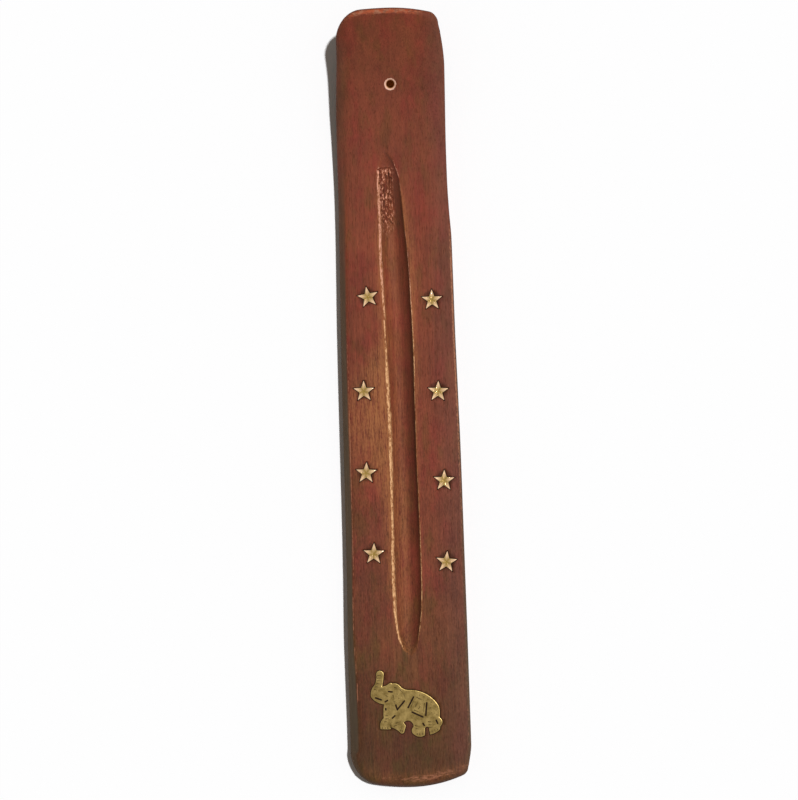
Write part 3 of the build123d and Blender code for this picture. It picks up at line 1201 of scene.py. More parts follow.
@dataclass
class Board(Piece):
    """Long wooden board: sanded foot, flat run, turned-up end, groove, hole and recesses.

    Attributes:
        length: Length along the board.
        thickness: Thickness of the board.
        bend_start: Where the turned-up end starts.
        bend_radius: Radius of its underside.
        bows: Bows of the two ends: foot left, foot right, hole left, hole right.
        corners: Corner radii in the same order.
        left: Left top edge.
        right: Right top edge.
        hole_end: Rounding, bevel, wear and greying of the top edge at the hole end.
        foot_end: The same at the foot end.
        edge_reach: How near to a long edge a point of the outline belongs to it.
        flattening: Height of a rounding for its width.
        bevel_slope: Drop of a bevel for its width.
        bevel_softness: How far the upper edge of a bevel is rubbed round.
        under_round: Rounding of the lower edge.
        slope_run: Run of the sanded slope at the foot.
        slope_drop: Drop of that slope.
        foot_rub: Strength of the wear along the top of the foot's slope, across the board.
        foot_scuffs: Place of the foot's scuffs, as a share of its slope, and their width.
        foot_glow: Place and width of the rubbed wood around them, and its share of their strength.
        tip_rub: Strength of the wear along the hole end, across the board.
        tip_reach: Distances from the hole end over which this wear comes in and fades.
        groove: The ash groove.
        hole_radius: Radius of the bore.
        mouth_radius: Radius of the mouth.
        hole_depth: Depth of the bore.
        split_width: Half width of a split at its wide end.
        split_point: Half width of a split at its fine end.
        torn_wood: Unevenness of the torn wood.
        frayed_lip: Unevenness of the lips.
        sanding: Unevenness of the sanded top.
        sanding_inset: Distance from the outline at which it is full.
        row_pitch: Spacing of the mesh along the board.
        end_rows: Mesh rows near an end, as distances from it.
        straight: How far from the middle the mesh rows run straight across.
        edge_columns: Mesh columns near a long edge, as distances from it.
        lip_columns: Mesh columns near a lip, as distances from it.
        between: Steps of the mesh columns from one of these lines to the next.
        lip_gap: Least half distance between the mesh columns of the two lips.
        wall_rows: Mesh rows down the side walls, as shares of their height.
        recess_reach: How far the cutter of a recess stands up.
        carried: Values of the wear, the painted shade and the painted light that the mesh carries.
    """

    length: float = 260.0
    thickness: float = 7.0
    bend_start: float = 64.0
    bend_radius: float = 187.5
    bows: Sequence[float] = (3.6, 4.4, 1.1, 2.3)
    corners: Sequence[float] = (8.2, 1.7, 8.6, 3.0)
    left: LongEdge = LongEdge(
        line=track(
            (-130.0, -19.9), (-111.0, -19.92), (-98.0, -19.95), (-58.0, -19.5), (-17.9, -19.35),
            (22.9, -19.2), (53.9, -18.85), (74.6, -18.76), (94.4, -18.65), (104.3, -18.35),
            (114.0, -17.98), (119.0, -17.8), (130.0, -17.7),
        ),
        rounding=track(
            (-130.0, 2.6), (-112.0, 3.1), (-97.0, 2.9), (-76.0, 2.0), (-42.0, 2.4), (0.0, 2.2),
            (33.0, 2.4), (66.0, 3.2), (92.0, 4.6), (130.0, 4.4),
        ),
        rub=track(
            (-125.0, 0.3), (-110.0, 0.8), (-70.0, 0.7), (-40.0, 0.9), (0.0, 0.9), (30.0, 0.5), (60.0, 0.0)
        ),
        grey=track(
            (-126.0, 0.8), (-100.0, 1.0), (20.0, 0.9), (60.0, 0.6), (88.0, 0.3), (112.0, 0.35), (130.0, 0.2)
        ),
        bevel=track((-10.0, 1.0), (30.0, 0.8), (60.0, 0.35), (80.0, 0.0)),
    )
    right: LongEdge = LongEdge(
        line=track(
            (-130.0, 18.75), (-128.0, 19.1), (-125.8, 19.45), (-123.5, 19.8), (-121.0, 20.03),
            (-115.0, 20.06), (-99.0, 20.06), (-79.0, 20.06), (-59.0, 20.02), (-39.0, 20.0),
            (-19.0, 19.96), (1.2, 19.74), (21.7, 19.5), (42.3, 19.44), (52.7, 19.38), (63.0, 18.86),
            (73.4, 18.56), (83.7, 18.52), (103.6, 18.72), (113.4, 18.78), (119.7, 18.46),
            (126.0, 17.7), (130.0, 17.1),
        ),
        rounding=track((-130.0, 1.5), (-60.0, 1.2), (60.0, 1.1), (130.0, 1.2)),
        rub=track(
            (-125.0, 0.45), (-60.0, 0.4), (-20.0, 0.65), (10.0, 0.78), (45.0, 0.78), (60.0, 0.4), (70.0, 0.0)
        ),
        grey=track((-120.0, 0.7), (-90.0, 0.8), (-40.0, 0.6), (0.0, 0.8), (30.0, 0.6), (60.0, 0.1)),
    )
    hole_end: Sequence[float] = (2.5, 0.0, 0.1, 0.0)
    foot_end: Sequence[float] = (1.5, 0.0, 0.1, 0.3)
    edge_reach: float = 0.4
    flattening: Track = track((1.2, 1.0), (2.5, 0.95), (4.6, 0.62))
    bevel_slope: float = 1.05
    bevel_softness: float = 0.3
    under_round: float = 0.8
    slope_run: float = 5.2
    slope_drop: float = 2.0
    foot_rub: Track = track(
        (-18.0, 0.0), (-12.0, 0.36), (-3.0, 0.42), (2.0, 0.56), (10.0, 0.54), (18.0, 0.42)
    )
    foot_scuffs: Place = (0.6, 1.7)
    foot_glow: Spot = (0.65, 2.0, 0.5)
    tip_rub: Track = track(
        (-16.0, 0.3), (-12.0, 0.62), (-3.0, 0.68), (6.0, 0.62), (11.0, 0.5), (15.0, 0.1)
    )
    tip_reach: tuple[Place, Place] = ((0.4, 0.9), (1.7, 3.4))
    groove: Groove = Groove()
    hole_radius: float = 1.3
    mouth_radius: float = 2.05
    hole_depth: float = 5.4
    split_width: float = 0.24
    split_point: float = 0.06
    torn_wood: Unevenness = Unevenness(0.2, 1.6, 0.7, 4.0)
    frayed_lip: Unevenness = Unevenness(0.06, 1.2, 0.9, 8.0)
    sanding: Unevenness = Unevenness(0.035, 1 / 9, 1 / 22, 2.0)
    sanding_inset: float = 3.0
    row_pitch: float = 0.62
    end_rows: Sequence[float] = (0.0, 0.06, 0.22, 0.46, 0.78, 1.15, 1.6, 2.15, 2.8, 3.5, 4.2, 4.9)
    straight: float = 100.0
    edge_columns: Sequence[float] = (0.0, 0.05, 0.2, 0.45, 0.8, 1.2, 1.6, 2.0, 2.3, 2.6, 2.9, 3.3)
    lip_columns: Sequence[float] = (
        -1.5, -1.1, -0.8, -0.55, -0.36, -0.18, 0.0, 0.18, 0.36, 0.55, 0.8, 1.1, 1.5
    )
    between: int = 8
    lip_gap: float = 2.4
    wall_rows: Sequence[float] = (0.12, 0.5, 0.88, 1.0)
    recess_reach: float = 4.0
    carried: ClassVar[tuple[str, ...]] = ("lip", "rub_and_light", "torn", "pool", "edge", "bevel")

    def top(self, y: float) -> float:
        """Gives the height of the plain top above the floor.

        Args:
            y: Place along the board.

        Returns:
            The height.
        """
        if y > self.bend_start:
            inner = self.bend_radius - self.thickness
            return self.bend_radius - sqrt(inner**2 - (y - self.bend_start) ** 2)
        start = self.slope_run - self.length / 2
        radius = (self.slope_run**2 + self.slope_drop**2) / (2 * self.slope_drop)
        run = max(0.0, start - y)
        return self.thickness - (radius - sqrt(radius**2 - run**2))

    def under(self, y: float) -> float:
        """Gives the height of the underside above the floor."""
        return self.bend_radius - sqrt(self.bend_radius**2 - max(0.0, y - self.bend_start) ** 2)

    def end(self, x: float, half: float, way: int) -> float:
        """Gives the outline of one end.

        Args:
            x: Place across the board.
            half: Half width there.
            way: 1 for the hole end, -1 for the foot end.

        Returns:
            Place of the end along the board.
        """
        quarter = (2 if way > 0 else 0) + (1 if x > 0 else 0)
        corner = self.corners[quarter]
        y = self.length / 2 - self.bows[quarter] * (x / half) ** 2
        share = clamped((abs(x) - (half - corner)) / corner)
        return way * (y - corner * (1 - sqrt(1 - share * share)))

    def rows(self) -> list[float]:
        """Spaces the mesh rows along the board, close together at both ends.

        Returns:
            Places along the board.
        """
        half = self.length / 2
        inset = self.end_rows[-1] + self.row_pitch
        count = round((self.length - 2 * inset) / self.row_pitch)
        first = -half + self.end_rows[-1] + self.row_pitch
        pitch = -2 * first / count
        inner = [first + pitch * step for step in range(count + 1)]
        return [step - half for step in self.end_rows] + inner + [half - step for step in self.end_rows[::-1]]

    def columns(self) -> list[tuple[int, float, int, float, float]]:
        """Spaces the mesh columns across the board, close together at edges and lips.

        Returns:
            Two anchor lines with an offset each, and the share of the way between them.
        """
        edge, lip = self.edge_columns, self.lip_columns
        near = [edge, lip, lip, [-step for step in edge[::-1]]]
        lines = []
        for anchor, steps in enumerate(near):
            lines += [(anchor, step, anchor, 0.0, 0.0) for step in steps]
            if anchor + 1 < len(near):
                far = near[anchor + 1][0]
                shares = [step / self.between for step in range(1, self.between)]
                lines += [(anchor, steps[-1], anchor + 1, far, share) for share in shares]
        return lines

    def plan(self, line: tuple[int, float, int, float, float], y: float) -> Place:
        """Places one mesh point in plan.

        Args:
            line: Column of the mesh.
            y: Row of the mesh.

        Returns:
            Place across and along the board.
        """
        left, right = self.groove.lips(y)
        middle, half = (left + right) / 2, max(self.lip_gap, (right - left) / 2)
        anchors = (self.left.line.at(y), middle - half, middle + half, self.right.line.at(y))
        first = anchors[line[0]] + line[1]
        x = first + (anchors[line[2]] + line[3] - first) * line[4]
        way = 1 if y > 0 else -1
        start = self.straight * way
        if abs(y) > self.straight:
            reach = abs(anchors[0]) if x < 0 else anchors[3]
            y = start + (y - start) * (self.end(x, reach, way) - start) / (way * self.length / 2 - start)
        return x, y

    def sheet(self) -> BMesh:
        """Lays out the top as a grid in plan.

        Returns:
            The grid, with its height still to come.
        """
        rows, columns = self.rows(), self.columns()
        bm = bmesh.new()
        bmesh.ops.create_grid(bm, x_segments=len(columns) - 1, y_segments=len(rows) - 1, size=1.0)
        for vert in bm.verts:
            column = round((vert.co.x + 1) / 2 * (len(columns) - 1))
            row = round((vert.co.y + 1) / 2 * (len(rows) - 1))
            x, y = self.plan(columns[column], rows[row])
            vert.co = (x, y, 0.0)
        return bm

    def rim(self, bm: BMesh) -> tuple[list[Vector], list[list[float]]]:
        """Walks round the outline of the grid.

        Args:
            bm: Grid in plan.

        Returns:
            Points of the outline, and the top edge's rounding, bevel, wear and greying at each.
        """
        start = next(edge for edge in bm.edges if edge.is_boundary)
        loop = list(start.verts)
        while True:
            step = next(
                edge.other_vert(loop[-1])
                for edge in loop[-1].link_edges
                if edge.is_boundary and edge.other_vert(loop[-1]) is not loop[-2]
            )
            if step is loop[0]:
                break
            loop.append(step)
        edges = []
        for vert in loop:
            x, y = vert.co.x, vert.co.y
            if x - self.left.line.at(y) < self.edge_reach:
                edges.append(self.left.at(y))
            elif self.right.line.at(y) - x < self.edge_reach:
                edges.append(self.right.at(y))
            else:
                edges.append(self.foot_end if y < 0 else self.hole_end)
        columns = [self.evened(values) for values in zip(*edges)]
        return [vert.co.copy() for vert in loop], [list(values) for values in zip(*columns)]

    @staticmethod
    def evened(values: Sequence[float], reach: int = 9) -> list[float]:
        """Evens out values round a closed loop.

        Args:
            values: One value at each point.
            reach: Neighbours on each side to average.

        Returns:
            The averaged values.
        """
        count = len(values)
        window = range(-reach, reach + 1)
        return [sum(values[(at + step) % count] for step in window) / len(window) for at in range(count)]

    def shape(self) -> BMesh:
        """Models the board in millimetres, before the hole and the recesses.

        Returns:
            A closed mesh that carries the wear as values.
        """
        bm = self.sheet()
        points, edges = self.rim(bm)
        tree = KDTree(len(points))
        for index, point in enumerate(points):
            tree.insert(point, index)
        tree.balance()
        layers = {name: bm.verts.layers.float.new(name) for name in (*self.carried, "upper", "lower")}
        for vert in bm.verts:
            gap, index = self.nearest(tree, points, vert.co)
            self.raise_top(vert, layers, gap, edges[index])
        self.close(bm, layers)
        return bm

    @staticmethod
    def nearest(tree: KDTree, points: list[Vector], spot: Vector) -> tuple[float, int]:
        """Measures from a point to the outline.

        Args:
            tree: Outline points for searching.
            points: The same points in order.
            spot: Point in plan.

        Returns:
            Distance to the outline and the number of the nearest outline point.
        """
        _, index, gap = tree.find(spot)
        for other in (index - 1, (index + 1) % len(points)):
            first, run = points[index], points[other] - points[index]
            if run.length_squared > 0:
                share = clamped((spot - first).dot(run) / run.length_squared)
                gap = min(gap, (spot - first - run * share).length)
        return gap, index

    def edge_drop(self, gap: float, rounding: float, bevel: float) -> float:
        """Gives how far the top falls away near the outline.

        Args:
            gap: Distance to the outline.
            rounding: Width of the rounding.
            bevel: Share of a flat bevel in it.

        Returns:
            Drop below the plain top.
        """
        inside = clamped(1 - gap / rounding)
        arc = rounding * self.flattening.at(rounding) * (1 - sqrt(1 - inside**2))
        slope = self.bevel_slope * (rounding - gap)
        soft = self.bevel_softness
        flat = (slope + sqrt(slope * slope + soft * soft)) / 2 if slope > -5 * soft else 0.0
        return arc + (flat - arc) * bevel

    def raise_top(self, vert: BMVert, layers: dict[str, Any], gap: float, edge: Sequence[float]) -> None:
        """Gives one point of the top its height and its wear.

        Args:
            vert: Point to raise.
            layers: Values that the mesh carries.
            gap: Distance to the outline.
            edge: Rounding, bevel, wear and greying of the outline near it.
        """
        x, y = vert.co.x, vert.co.y
        rounding, bevel, rubbing, grey = edge
        lip, rub_and_light = self.groove.wear(x, y)
        scuffs, glow = self.end_wear(x, y)
        torn = self.groove.torn(x, y)
        rough = self.torn_wood.at(x, y, torn) + self.frayed_lip.at(x, y, lip)
        wave = self.sanding.at(x, y, min(1.0, gap / self.sanding_inset))
        height = self.top(y) - self.edge_drop(gap, rounding, bevel) - self.groove.cut(x, y)
        vert.co.z = height + rough + wave
        shoulder = (0.55 + 0.45 * bevel) * rounding
        width = 0.16 + 0.2 * rounding * (1 - bevel)
        corner = max(0.0, self.under_round - gap)
        values = {
            "lip": lip,
            "rub_and_light": max(rub_and_light, glow),
            # Painted shade on the groove's far wall.
            "pool": self.groove.pool(x, y),
            "torn": torn,
            "edge": max(scuffs, rubbing * bell(gap - shoulder, width)),
            # Greyed bevel, with painted shade on the left bevel.
            "bevel": grey * (1 - ease((0.35 + 0.4 * bevel) * rounding, 0.98 * rounding, gap)),
            "upper": vert.co.z,
            "lower": self.under(y) + self.under_round - sqrt(max(0.0, self.under_round**2 - corner**2)),
        }
        for name, value in values.items():
            vert[layers[name]] = value

    def end_wear(self, x: float, y: float) -> Place:
        """Gives how far the dye is rubbed off at the two ends.

        Args:
            x: Place across the board.
            y: Place along the board.

        Returns:
            Strength of the scuffs and of the rubbed wood around them.
        """
        way = 1 if y > 0 else -1
        reach = abs((self.left if x < 0 else self.right).line.at(y))
        inside = way * (self.end(max(-reach, min(reach, x)), reach, way) - y)
        if way > 0:
            return band(*self.tip_reach, inside, self.tip_rub.at(x)), 0.0
        rub = self.foot_rub.at(x)
        share, width = self.foot_scuffs
        glow_share, glow_width, glow = self.foot_glow
        scuffs = rub * bell(inside - share * self.slope_run, width)
        return scuffs, glow * rub * bell(inside - glow_share * self.slope_run, glow_width)

    def close(self, bm: BMesh, layers: dict[str, Any]) -> None:
        """Adds the underside and the side walls to the top.

        Args:
            bm: The raised top.
            layers: Values that the mesh carries.
        """
        outline = [edge for edge in bm.edges if edge.is_boundary]
        below = bmesh.ops.duplicate(bm, geom=bm.verts[:] + bm.edges[:] + bm.faces[:])["geom"]
        for vert in only(BMVert, below):
            vert.co.z = vert[layers["lower"]]
            for name in self.carried:
                vert[layers[name]] = 0.0
        bmesh.ops.reverse_faces(bm, faces=only(BMFace, below))
        for share in self.wall_rows:
            grown = bmesh.ops.extrude_edge_only(bm, edges=outline)["geom"]
            for vert in only(BMVert, grown):
                upper, lower = vert[layers["upper"]], vert[layers["lower"]]
                vert.co.z = upper + (lower - upper) * share
                vert[layers["edge"]] = 0.0
            outline = [edge for edge in only(BMEdge, grown) if edge.is_boundary]
        bmesh.ops.remove_doubles(bm, verts=bm.verts, dist=1e-4)
        bmesh.ops.recalc_face_normals(bm, faces=bm.faces)
        for name in ("upper", "lower"):
            bm.verts.layers.float.remove(layers[name])
        for face in bm.faces:
            face.smooth = True

    def drill(self) -> BMesh:
        """Models the drill that makes the hole and its countersunk mouth.

        Returns:
            A closed mesh in millimetres.
        """
        bm = bmesh.new()
        cone = self.mouth_radius - self.hole_radius
        profile = [
            (0.0, -self.hole_depth - 0.4),
            (self.hole_radius, -self.hole_depth),
            (self.hole_radius, -cone - 0.12),
            (self.hole_radius + 0.1, -cone + 0.06),
            (self.mouth_radius, 0.0),
            (self.mouth_radius + 1.0, 1.0),
            (0.0, 1.0),
        ]
        verts = [bm.verts.new((radius, 0.0, height)) for radius, height in profile]
        edges = [bm.edges.new(pair) for pair in zip(verts, verts[1:])]
        bmesh.ops.spin(
            bm, geom=verts + edges, cent=(0, 0, 0), axis=(0, 0, 1), angle=2 * pi, steps=56,
            use_merge=True, use_duplicate=False,
        )
        bmesh.ops.remove_doubles(bm, verts=bm.verts, dist=1e-5)
        bmesh.ops.recalc_face_normals(bm, faces=bm.faces)
        turn = Matrix.Translation(HOLE_MOUTH) @ Matrix.Rotation(radians(HOLE_LEAN), 4, "X")
        bmesh.ops.transform(bm, matrix=turn, verts=bm.verts)
        return bm

    def recess(self, bed: str) -> BMesh:
        """Models the cutter of a recess from the floor of its bedding.

        Args:
            bed: CAD node of the bedding.

        Returns:
            A closed mesh in metres.
        """
        bm = self.copy_of(bed)
        low = min(vert.co.z for vert in bm.verts)
        away = [face for face in bm.faces if face.normal.z > -0.9 or face.calc_center_median().z > low + 1e-5]
        bmesh.ops.delete(bm, geom=away, context="FACES")
        bmesh.ops.dissolve_faces(bm, faces=bm.faces[:], use_verts=True)
        grown = bmesh.ops.extrude_face_region(bm, geom=bm.faces[:], use_keep_orig=True)["geom"]
        bmesh.ops.translate(bm, vec=(0, 0, self.recess_reach * MM), verts=only(BMVert, grown))
        bmesh.ops.recalc_face_normals(bm, faces=bm.faces)
        return bm

    def cutters(self, beds: Iterable[str]) -> BMesh:
        """Gathers the drill, the splits and the recess cutters.

        Args:
            beds: CAD nodes of the bedding.

        Returns:
            A mesh in metres to cut with.
        """
        whole = self.drill()
        pool = whole.verts.layers.float.new("pool")
        drilled = len(whole.verts)
        for ends in self.groove.splits:
            first, last = (Vector((x, y, self.top(y) - self.groove.cut(x, y))) for x, y in ends)
            self.stroke(whole, first, last, self.split_width, self.split_point)
        # The splits' cutters carry painted shade into the cracks that they cut.
        whole.verts.ensure_lookup_table()
        for vert in whole.verts[drilled:]:
            vert[pool] = 1.0
        self.to_metres(whole)
        for bed in beds:
            cutter = mesh_of(self.recess(bed), "cutter")
            whole.from_mesh(cutter)
            bpy.data.meshes.remove(cutter)
        return whole

    def build(self, material: Material, beds: Sequence[str]) -> Object:
        """Builds the board.

        Args:
            material: Its finish.
            beds: CAD nodes of the bedding let into it.

        Returns:
            The object.
        """
        blank = self.shape()
        self.to_metres(blank)
        mesh = self.carve(blank, self.cutters(beds))
        mesh.set_sharp_from_angle(angle=radians(42))
        return self.settle(mesh, material)


@dataclass
class Inlay(Piece):
    """A piece of cut sheet brass let into the board.

    Attributes:
        rim: Width of the rounding of the cut rim.
    """

    rim: float = 0.2

    def round_rim(self, bm: BMesh, edges: Iterable[BMEdge], segments: int, clamp: bool) -> None:
        """Rounds edges of the rim.

        Args:
            bm: Mesh of the piece in metres.
            edges: Edges to round.
            segments: Steps of the rounding.
            clamp: Whether it stops where two roundings meet.
        """
        bmesh.ops.bevel(
            bm, geom=list(edges), offset=self.rim * MM, offset_type="OFFSET", segments=segments,
            profile=0.5, affect="EDGES", material=-1, clamp_overlap=clamp,
        )

    def finish(self, mesh: Mesh, material: Material, sharp: float, level: float) -> Object:
        """Shades the face flat and the rim smooth, and puts the piece in its place.

        Args:
            mesh: Finished mesh in metres.
            material: Its finish.
            sharp: Angle in degrees past which an edge stays sharp.
            level: How far up a face looks that is shaded flat.

        Returns:
            The object.
        """
        mesh.set_sharp_from_angle(angle=radians(sharp))
        for face in mesh.polygons:
            face.use_smooth = face.normal.z < level
        return self.settle(mesh, material)


@dataclass
class Star(Inlay):
    """One cut brass star, hammered a little hollow in the middle, with rubbed arms whose brightness is partly
    a painted highlight.

    Attributes:
        rim: Width of the rounding of the cut rim.
        flat: Width of the flat around the hollow.
        hollow: Depth of the hollow.
        dull: Radii at which the dull middle, partly a painted darker reflection, starts to fade, and at which
            it ends.
    """

    rim: float = 0.13
    flat: float = 0.2
    hollow: float = 0.035
    dull: Place = (0.9, 2.7)

    def middle(self) -> Place:
        """Gives the middle of the star on the board, in millimetres.

        Returns:
            Place across and along the board.
        """
        half = 0.5 / MM
        across, along, _ = zip(*(vert.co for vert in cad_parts[self.node].data.vertices))
        return half * (min(across) + max(across)), half * (min(along) + max(along))

    def build(self, material: Material) -> Object:
        """Builds the star.

        Args:
            material: Its finish.

        Returns:
            The object.
        """
        bm = self.copy_of(self.node)
        layer = bm.verts.layers.float.new("hollow")
        face = max(bm.faces, key=lambda item: item.calc_center_median().z)
        self.round_rim(bm, face.edges, segments=2, clamp=True)
        face = max(bm.faces, key=lambda item: (round(item.calc_center_median().z * 1e6), item.calc_area()))
        bmesh.ops.inset_individual(bm, faces=[face], thickness=self.flat * MM, use_even_offset=True)
        middle = bmesh.ops.poke(bm, faces=[face], offset=0.0)["verts"][0]
        middle.co.z -= self.hollow * MM
        # Dull middle fading to bright tips: tarnish and rubbing, partly a painted highlight.
        for vert in bm.verts:
            vert[layer] = 1 - ease(*self.dull, (vert.co - middle.co).xy.length / MM)
        for item in bm.faces:
            item.smooth = True
        return self.finish(mesh_of(bm, self.name), material, sharp=50, level=0.99)


@dataclass
class Elephant(Inlay):
    """Pierced brass elephant, engraved with toes, creases, an ear and a saddle cloth.

    Attributes:
        flattening: Height of the rim's rounding for its width.
        middle: Middle of the drawing on the board.
        length: Length of the elephant, which the drawing is in hundredths of.
        turn: Turn of the drawing in degrees.
        graver: Half width of a stroke at its deep end.
        graver_point: Half width of a stroke at its fine end.
        punch: Radius of the round punch.
        punch_lift: How far the middle of a dot lies above the face, as a share of that radius.
        strokes: Engraved strokes, each from its deep end to its fine end.
        dots: Punched dots.
    """

    flattening: float = 0.45
    middle: Place = (-1.13, -102.3)
    length: float = 24.4
    turn: float = -1.6
    graver: float = 0.15
    graver_point: float = 0.05
    punch: float = 0.3
    punch_lift: float = 0.6
    strokes: Sequence[tuple[Place, Place]] = (
        # toes
        ((-32.0, -33.6), (-31.0, -29.6)), ((-28.4, -33.8), (-27.8, -29.4)), ((-24.8, -33.9), (-24.8, -29.6)),
        ((-7.4, -37.2), (-8.4, -33.4)), ((-4.8, -37.8), (-5.5, -33.4)), ((15.2, -41.8), (14.6, -37.8)),
        ((18.8, -42.4), (18.0, -38.0)), ((22.4, -41.8), (21.8, -37.8)), ((35.4, -38.6), (34.6, -34.6)),
        ((39.2, -37.6), (38.2, -33.6)), ((42.6, -36.0), (41.8, -32.4)),
        # creases of the legs
        ((-29.6, -24.6), (-23.0, -23.4)), ((-27.8, -20.6), (-21.8, -19.6)), ((-28.0, -16.4), (-22.2, -15.0)),
        ((-16.4, -30.4), (-9.4, -27.4)), ((-14.0, -26.4), (-7.6, -23.6)), ((11.8, -29.4), (18.6, -30.8)),
        ((13.0, -33.6), (20.4, -34.4)), ((30.6, -28.4), (38.2, -28.8)), ((29.4, -32.2), (36.8, -31.6)),
        ((29.8, -24.2), (37.4, -24.8)), ((-20.8, -32.0), (-20.4, -25.6)),
        # rings of the trunk
        ((-38.8, 37.6), (-33.0, 38.2)), ((-39.0, 34.0), (-32.8, 34.4)), ((-38.8, 30.4), (-33.2, 30.6)),
        ((-39.6, 26.8), (-34.0, 26.4)), ((-41.2, 23.0), (-35.2, 21.8)), ((-43.6, 19.4), (-37.2, 17.2)),
        # ear and cheek
        ((-15.8, 22.0), (-9.2, 19.4)), ((-8.4, 18.8), (-3.6, 14.2)), ((-3.0, 13.2), (-1.0, 7.2)),
        ((-17.6, 11.6), (-16.4, 4.8)), ((-16.2, 3.6), (-15.2, -0.6)), ((-27.4, 10.8), (-22.6, 8.0)),
        # saddle cloth
        ((6.4, -5.0), (12.6, 7.0)), ((10.8, -8.6), (22.2, -13.4)), ((25.0, 0.6), (23.4, -12.2)),
        ((14.4, 8.4), (25.2, 3.2)), ((12.4, -4.4), (16.6, 3.0)), ((17.0, -7.6), (20.6, -0.6)),
    )
    dots: Sequence[Place] = (
        (18.6, 11.0), (24.2, 8.8), (29.6, 5.6), (34.2, 1.6), (38.0, -3.4), (40.6, -9.0), (41.6, -15.2),
        (33.4, -6.0), (34.8, -12.6), (33.6, -19.0), (-12.0, 12.6), (-9.6, 6.8),
    )

    def spot(self, point: Place, lift: float = 0.0) -> Vector:
        """Places a point of the drawing on the brass face, or above it, in millimetres."""
        turned = Matrix.Rotation(radians(self.turn), 2) @ (Vector(point) * self.length / 100)
        return Vector((*(turned + Vector(self.middle)), BRASS_TOP + lift))

    def engraving(self) -> BMesh:
        """Models what the graver and the punch take away.

        Returns:
            A mesh in metres to cut with.
        """
        bm = bmesh.new()
        for start, end in self.strokes:
            self.stroke(bm, self.spot(start), self.spot(end), self.graver, self.graver_point)
        for dot in self.dots:
            place = Matrix.Translation(self.spot(dot, self.punch_lift * self.punch))
            bmesh.ops.create_icosphere(bm, subdivisions=2, radius=self.punch, matrix=place)
        self.to_metres(bm)
        return bm

    @staticmethod
    def outline(rims: set[BMEdge]) -> list[BMEdge]:
        """Picks the longest closed loop.

        Args:
            rims: Edges of the loops, which are used up.

        Returns:
            The edges of that loop.
        """
        loops = []
        while rims:
            loop, ahead = [], [rims.pop()]
            while ahead:
                loop.append(ahead.pop())
                near = {edge for vert in loop[-1].verts for edge in vert.link_edges} & rims
                rims -= near
                ahead += near
            loops.append(loop)
        return max(loops, key=lambda edges: sum(edge.calc_length() for edge in edges))

    def build(self, material: Material) -> Object:
        """Builds the elephant.

        Args:
            material: Its finish.

        Returns:
            The object.
        """
        bm = self.copy_of(self.node)
        high = max(vert.co.z for vert in bm.verts)
        raised = [edge for edge in bm.edges if min(vert.co.z for vert in edge.verts) > high - 1e-6]
        rims = {edge for edge in raised if edge.is_manifold and edge.calc_face_angle(0.0) > radians(60)}
        self.round_rim(bm, self.outline(rims), segments=3, clamp=False)
        for vert in bm.verts:
            if high - vert.co.z < 1.01 * self.rim * MM:
                vert.co.z = high - (high - vert.co.z) * self.flattening
        return self.finish(self.carve(bm, self.engraving()), material, sharp=40, level=0.9998)


@dataclass
class Bedding:
    """Dark lac around the inlays, kept as the CAD nodes.

    Attributes:
        nodes: CAD nodes of the bedding.
    """

    nodes: Sequence[str]

    def dress(self, material: Material) -> None:
        """Gives every bedding its finish.

        Args:
            material: The finish.
        """
        for name in self.nodes:
            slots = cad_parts[name].data.materials
            slots.clear()
            slots.append(material)
            log.info("dressed %s", name)


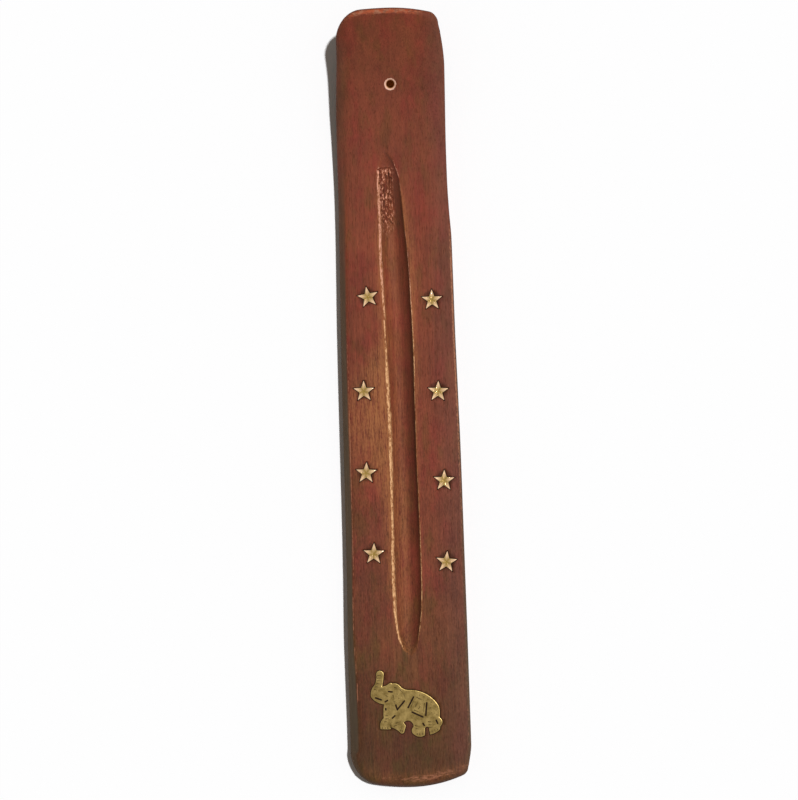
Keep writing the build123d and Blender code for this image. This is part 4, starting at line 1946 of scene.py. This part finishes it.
@dataclass
class Studio:
    """Pale floor, soft light from the upper right and a camera above the foot end.

    Attributes:
        aim: Point the camera looks at, in millimetres.
        distance: Distance from it.
        elevation: Camera's height over the horizon in degrees.
        roll: Lean of the picture in degrees.
        focal: Focal length in pixels of the photograph's width.
        width: Width of the picture in pixels.
        key_from: Direction towards the key light.
        key: Strength of the key light.
        key_spread: Apparent size of the key light in degrees.
        fill: Strength of the light from all round.
        key_tint: Colour of the key light.
        fill_tint: Colour of the light from all round.
        floor_reach: Half width of the floor in metres.
    """

    aim: Spot = (-0.2, -1.64, 7.0)
    distance: float = 547.8
    elevation: float = 85.0
    roll: float = 1.84
    focal: float = 1631.85
    width: int = 798
    key_from: Spot = (0.32, 0.13, 1.0)
    key: float = 2.86
    key_spread: float = 3.0
    fill: float = 0.14
    key_tint: Spot = (0.99, 1.0, 1.02)
    fill_tint: Colour = (1.0, 0.93, 0.82, 1.0)
    floor_reach: float = 3.0

    def camera(self) -> None:
        """Sets up the camera."""
        lift, lean = radians(self.elevation), radians(self.roll)
        forward = Vector((0.0, cos(lift), -sin(lift)))
        straight = Vector((0.0, sin(lift), cos(lift)))
        right = Vector((cos(lean), 0.0, 0.0)) - sin(lean) * straight
        up = Vector((sin(lean), 0.0, 0.0)) + cos(lean) * straight
        data = bpy.data.cameras.new("camera")
        data.sensor_fit = "HORIZONTAL"
        data.sensor_width = 36.0
        data.lens = self.focal / self.width * data.sensor_width
        data.clip_start = 0.01
        view = show("camera", data)
        turn = Matrix((right, up, -forward)).transposed().to_4x4()
        view.matrix_world = Matrix.Translation((Vector(self.aim) - forward * self.distance) * MM) @ turn
        bpy.context.scene.camera = view

    def lights(self) -> None:
        """Sets up the key light and the light from all round."""
        lamp = bpy.data.lights.new("key", "SUN")
        lamp.energy = self.key
        lamp.color = self.key_tint
        lamp.angle = radians(self.key_spread)
        turn = Vector(self.key_from).to_track_quat("Z", "Y")
        show("key", lamp).matrix_world = turn.to_matrix().to_4x4()
        world = bpy.context.scene.world or bpy.data.worlds.new("studio")
        bpy.context.scene.world = world
        world.use_nodes = True
        wires = Wires(world.node_tree)
        rays = wires.place("ShaderNodeLightPath").outputs
        seen = wires.math("MAXIMUM", rays["Is Camera Ray"], rays["Is Glossy Ray"])
        seen = wires.math("MAXIMUM", seen, rays["Is Transmission Ray"])
        level = wires.place("ShaderNodeMapRange", {0: seen, 3: self.fill, 4: 1.0}).outputs[0]
        glow = {"Strength": level, "Color": wires.mix(seen, self.fill_tint, WHITE)}
        wires.feed(world.node_tree.nodes["Background"], glow)

    def floor(self) -> None:
        """Lays the pale floor."""
        bm = bmesh.new()
        bmesh.ops.create_grid(bm, x_segments=1, y_segments=1, size=self.floor_reach)
        ground = show("floor", mesh_of(bm, "floor"))
        material, wires, shader = start_material("floor_paper")
        wires.feed(shader, {"Base Color": WHITE, "Roughness": 0.9, "Specular IOR Level": 0.0})
        ground.data.materials.append(material)

    def build(self) -> None:
        """Sets up the camera, the lights and the floor."""
        self.camera()
        self.lights()
        self.floor()
        bpy.context.scene.view_settings.view_transform = "Standard"


def main() -> None:
    """Builds the holder and its studio in order."""
    logging.basicConfig(level=logging.INFO, format="%(message)s")
    shared = SharedNodes()
    Studio().build()
    log.info("studio ready")
    beds = sorted(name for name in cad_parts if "bed" in name)
    Bedding(beds).dress(DarkLac().material(shared))
    polished = AgedBrass(
        "star_brass", paint(240, 200, 162), paint(142, 115, 47), dull=0.25, rough=0.07, rim_rough=0.0
    ).material(shared)
    nodes = [f"star_{side.value}_{row}" for side in Side for row in range(1, 5)]
    stars = [Star(f"{node}_cut", Slot.BRASS, node) for node in nodes]
    for star in stars:
        log.info("built %s", star.build(polished).name)
    olive = AgedBrass(
        "elephant_brass", paint(150, 127, 77), paint(106, 87, 46), dull=0.55, rough=0.15, rim_rough=0.2
    ).material(shared)
    log.info("built %s", Elephant("elephant_cut", Slot.BRASS, "elephant").build(olive).name)
    wood = StainedWood([star.middle() for star in stars]).material(shared)
    board = Board("board_carved", Slot.WOOD, "board").build(wood, beds)
    log.info("built %s, %d faces", board.name, len(board.data.polygons))


if __name__ == "__main__":
    main()
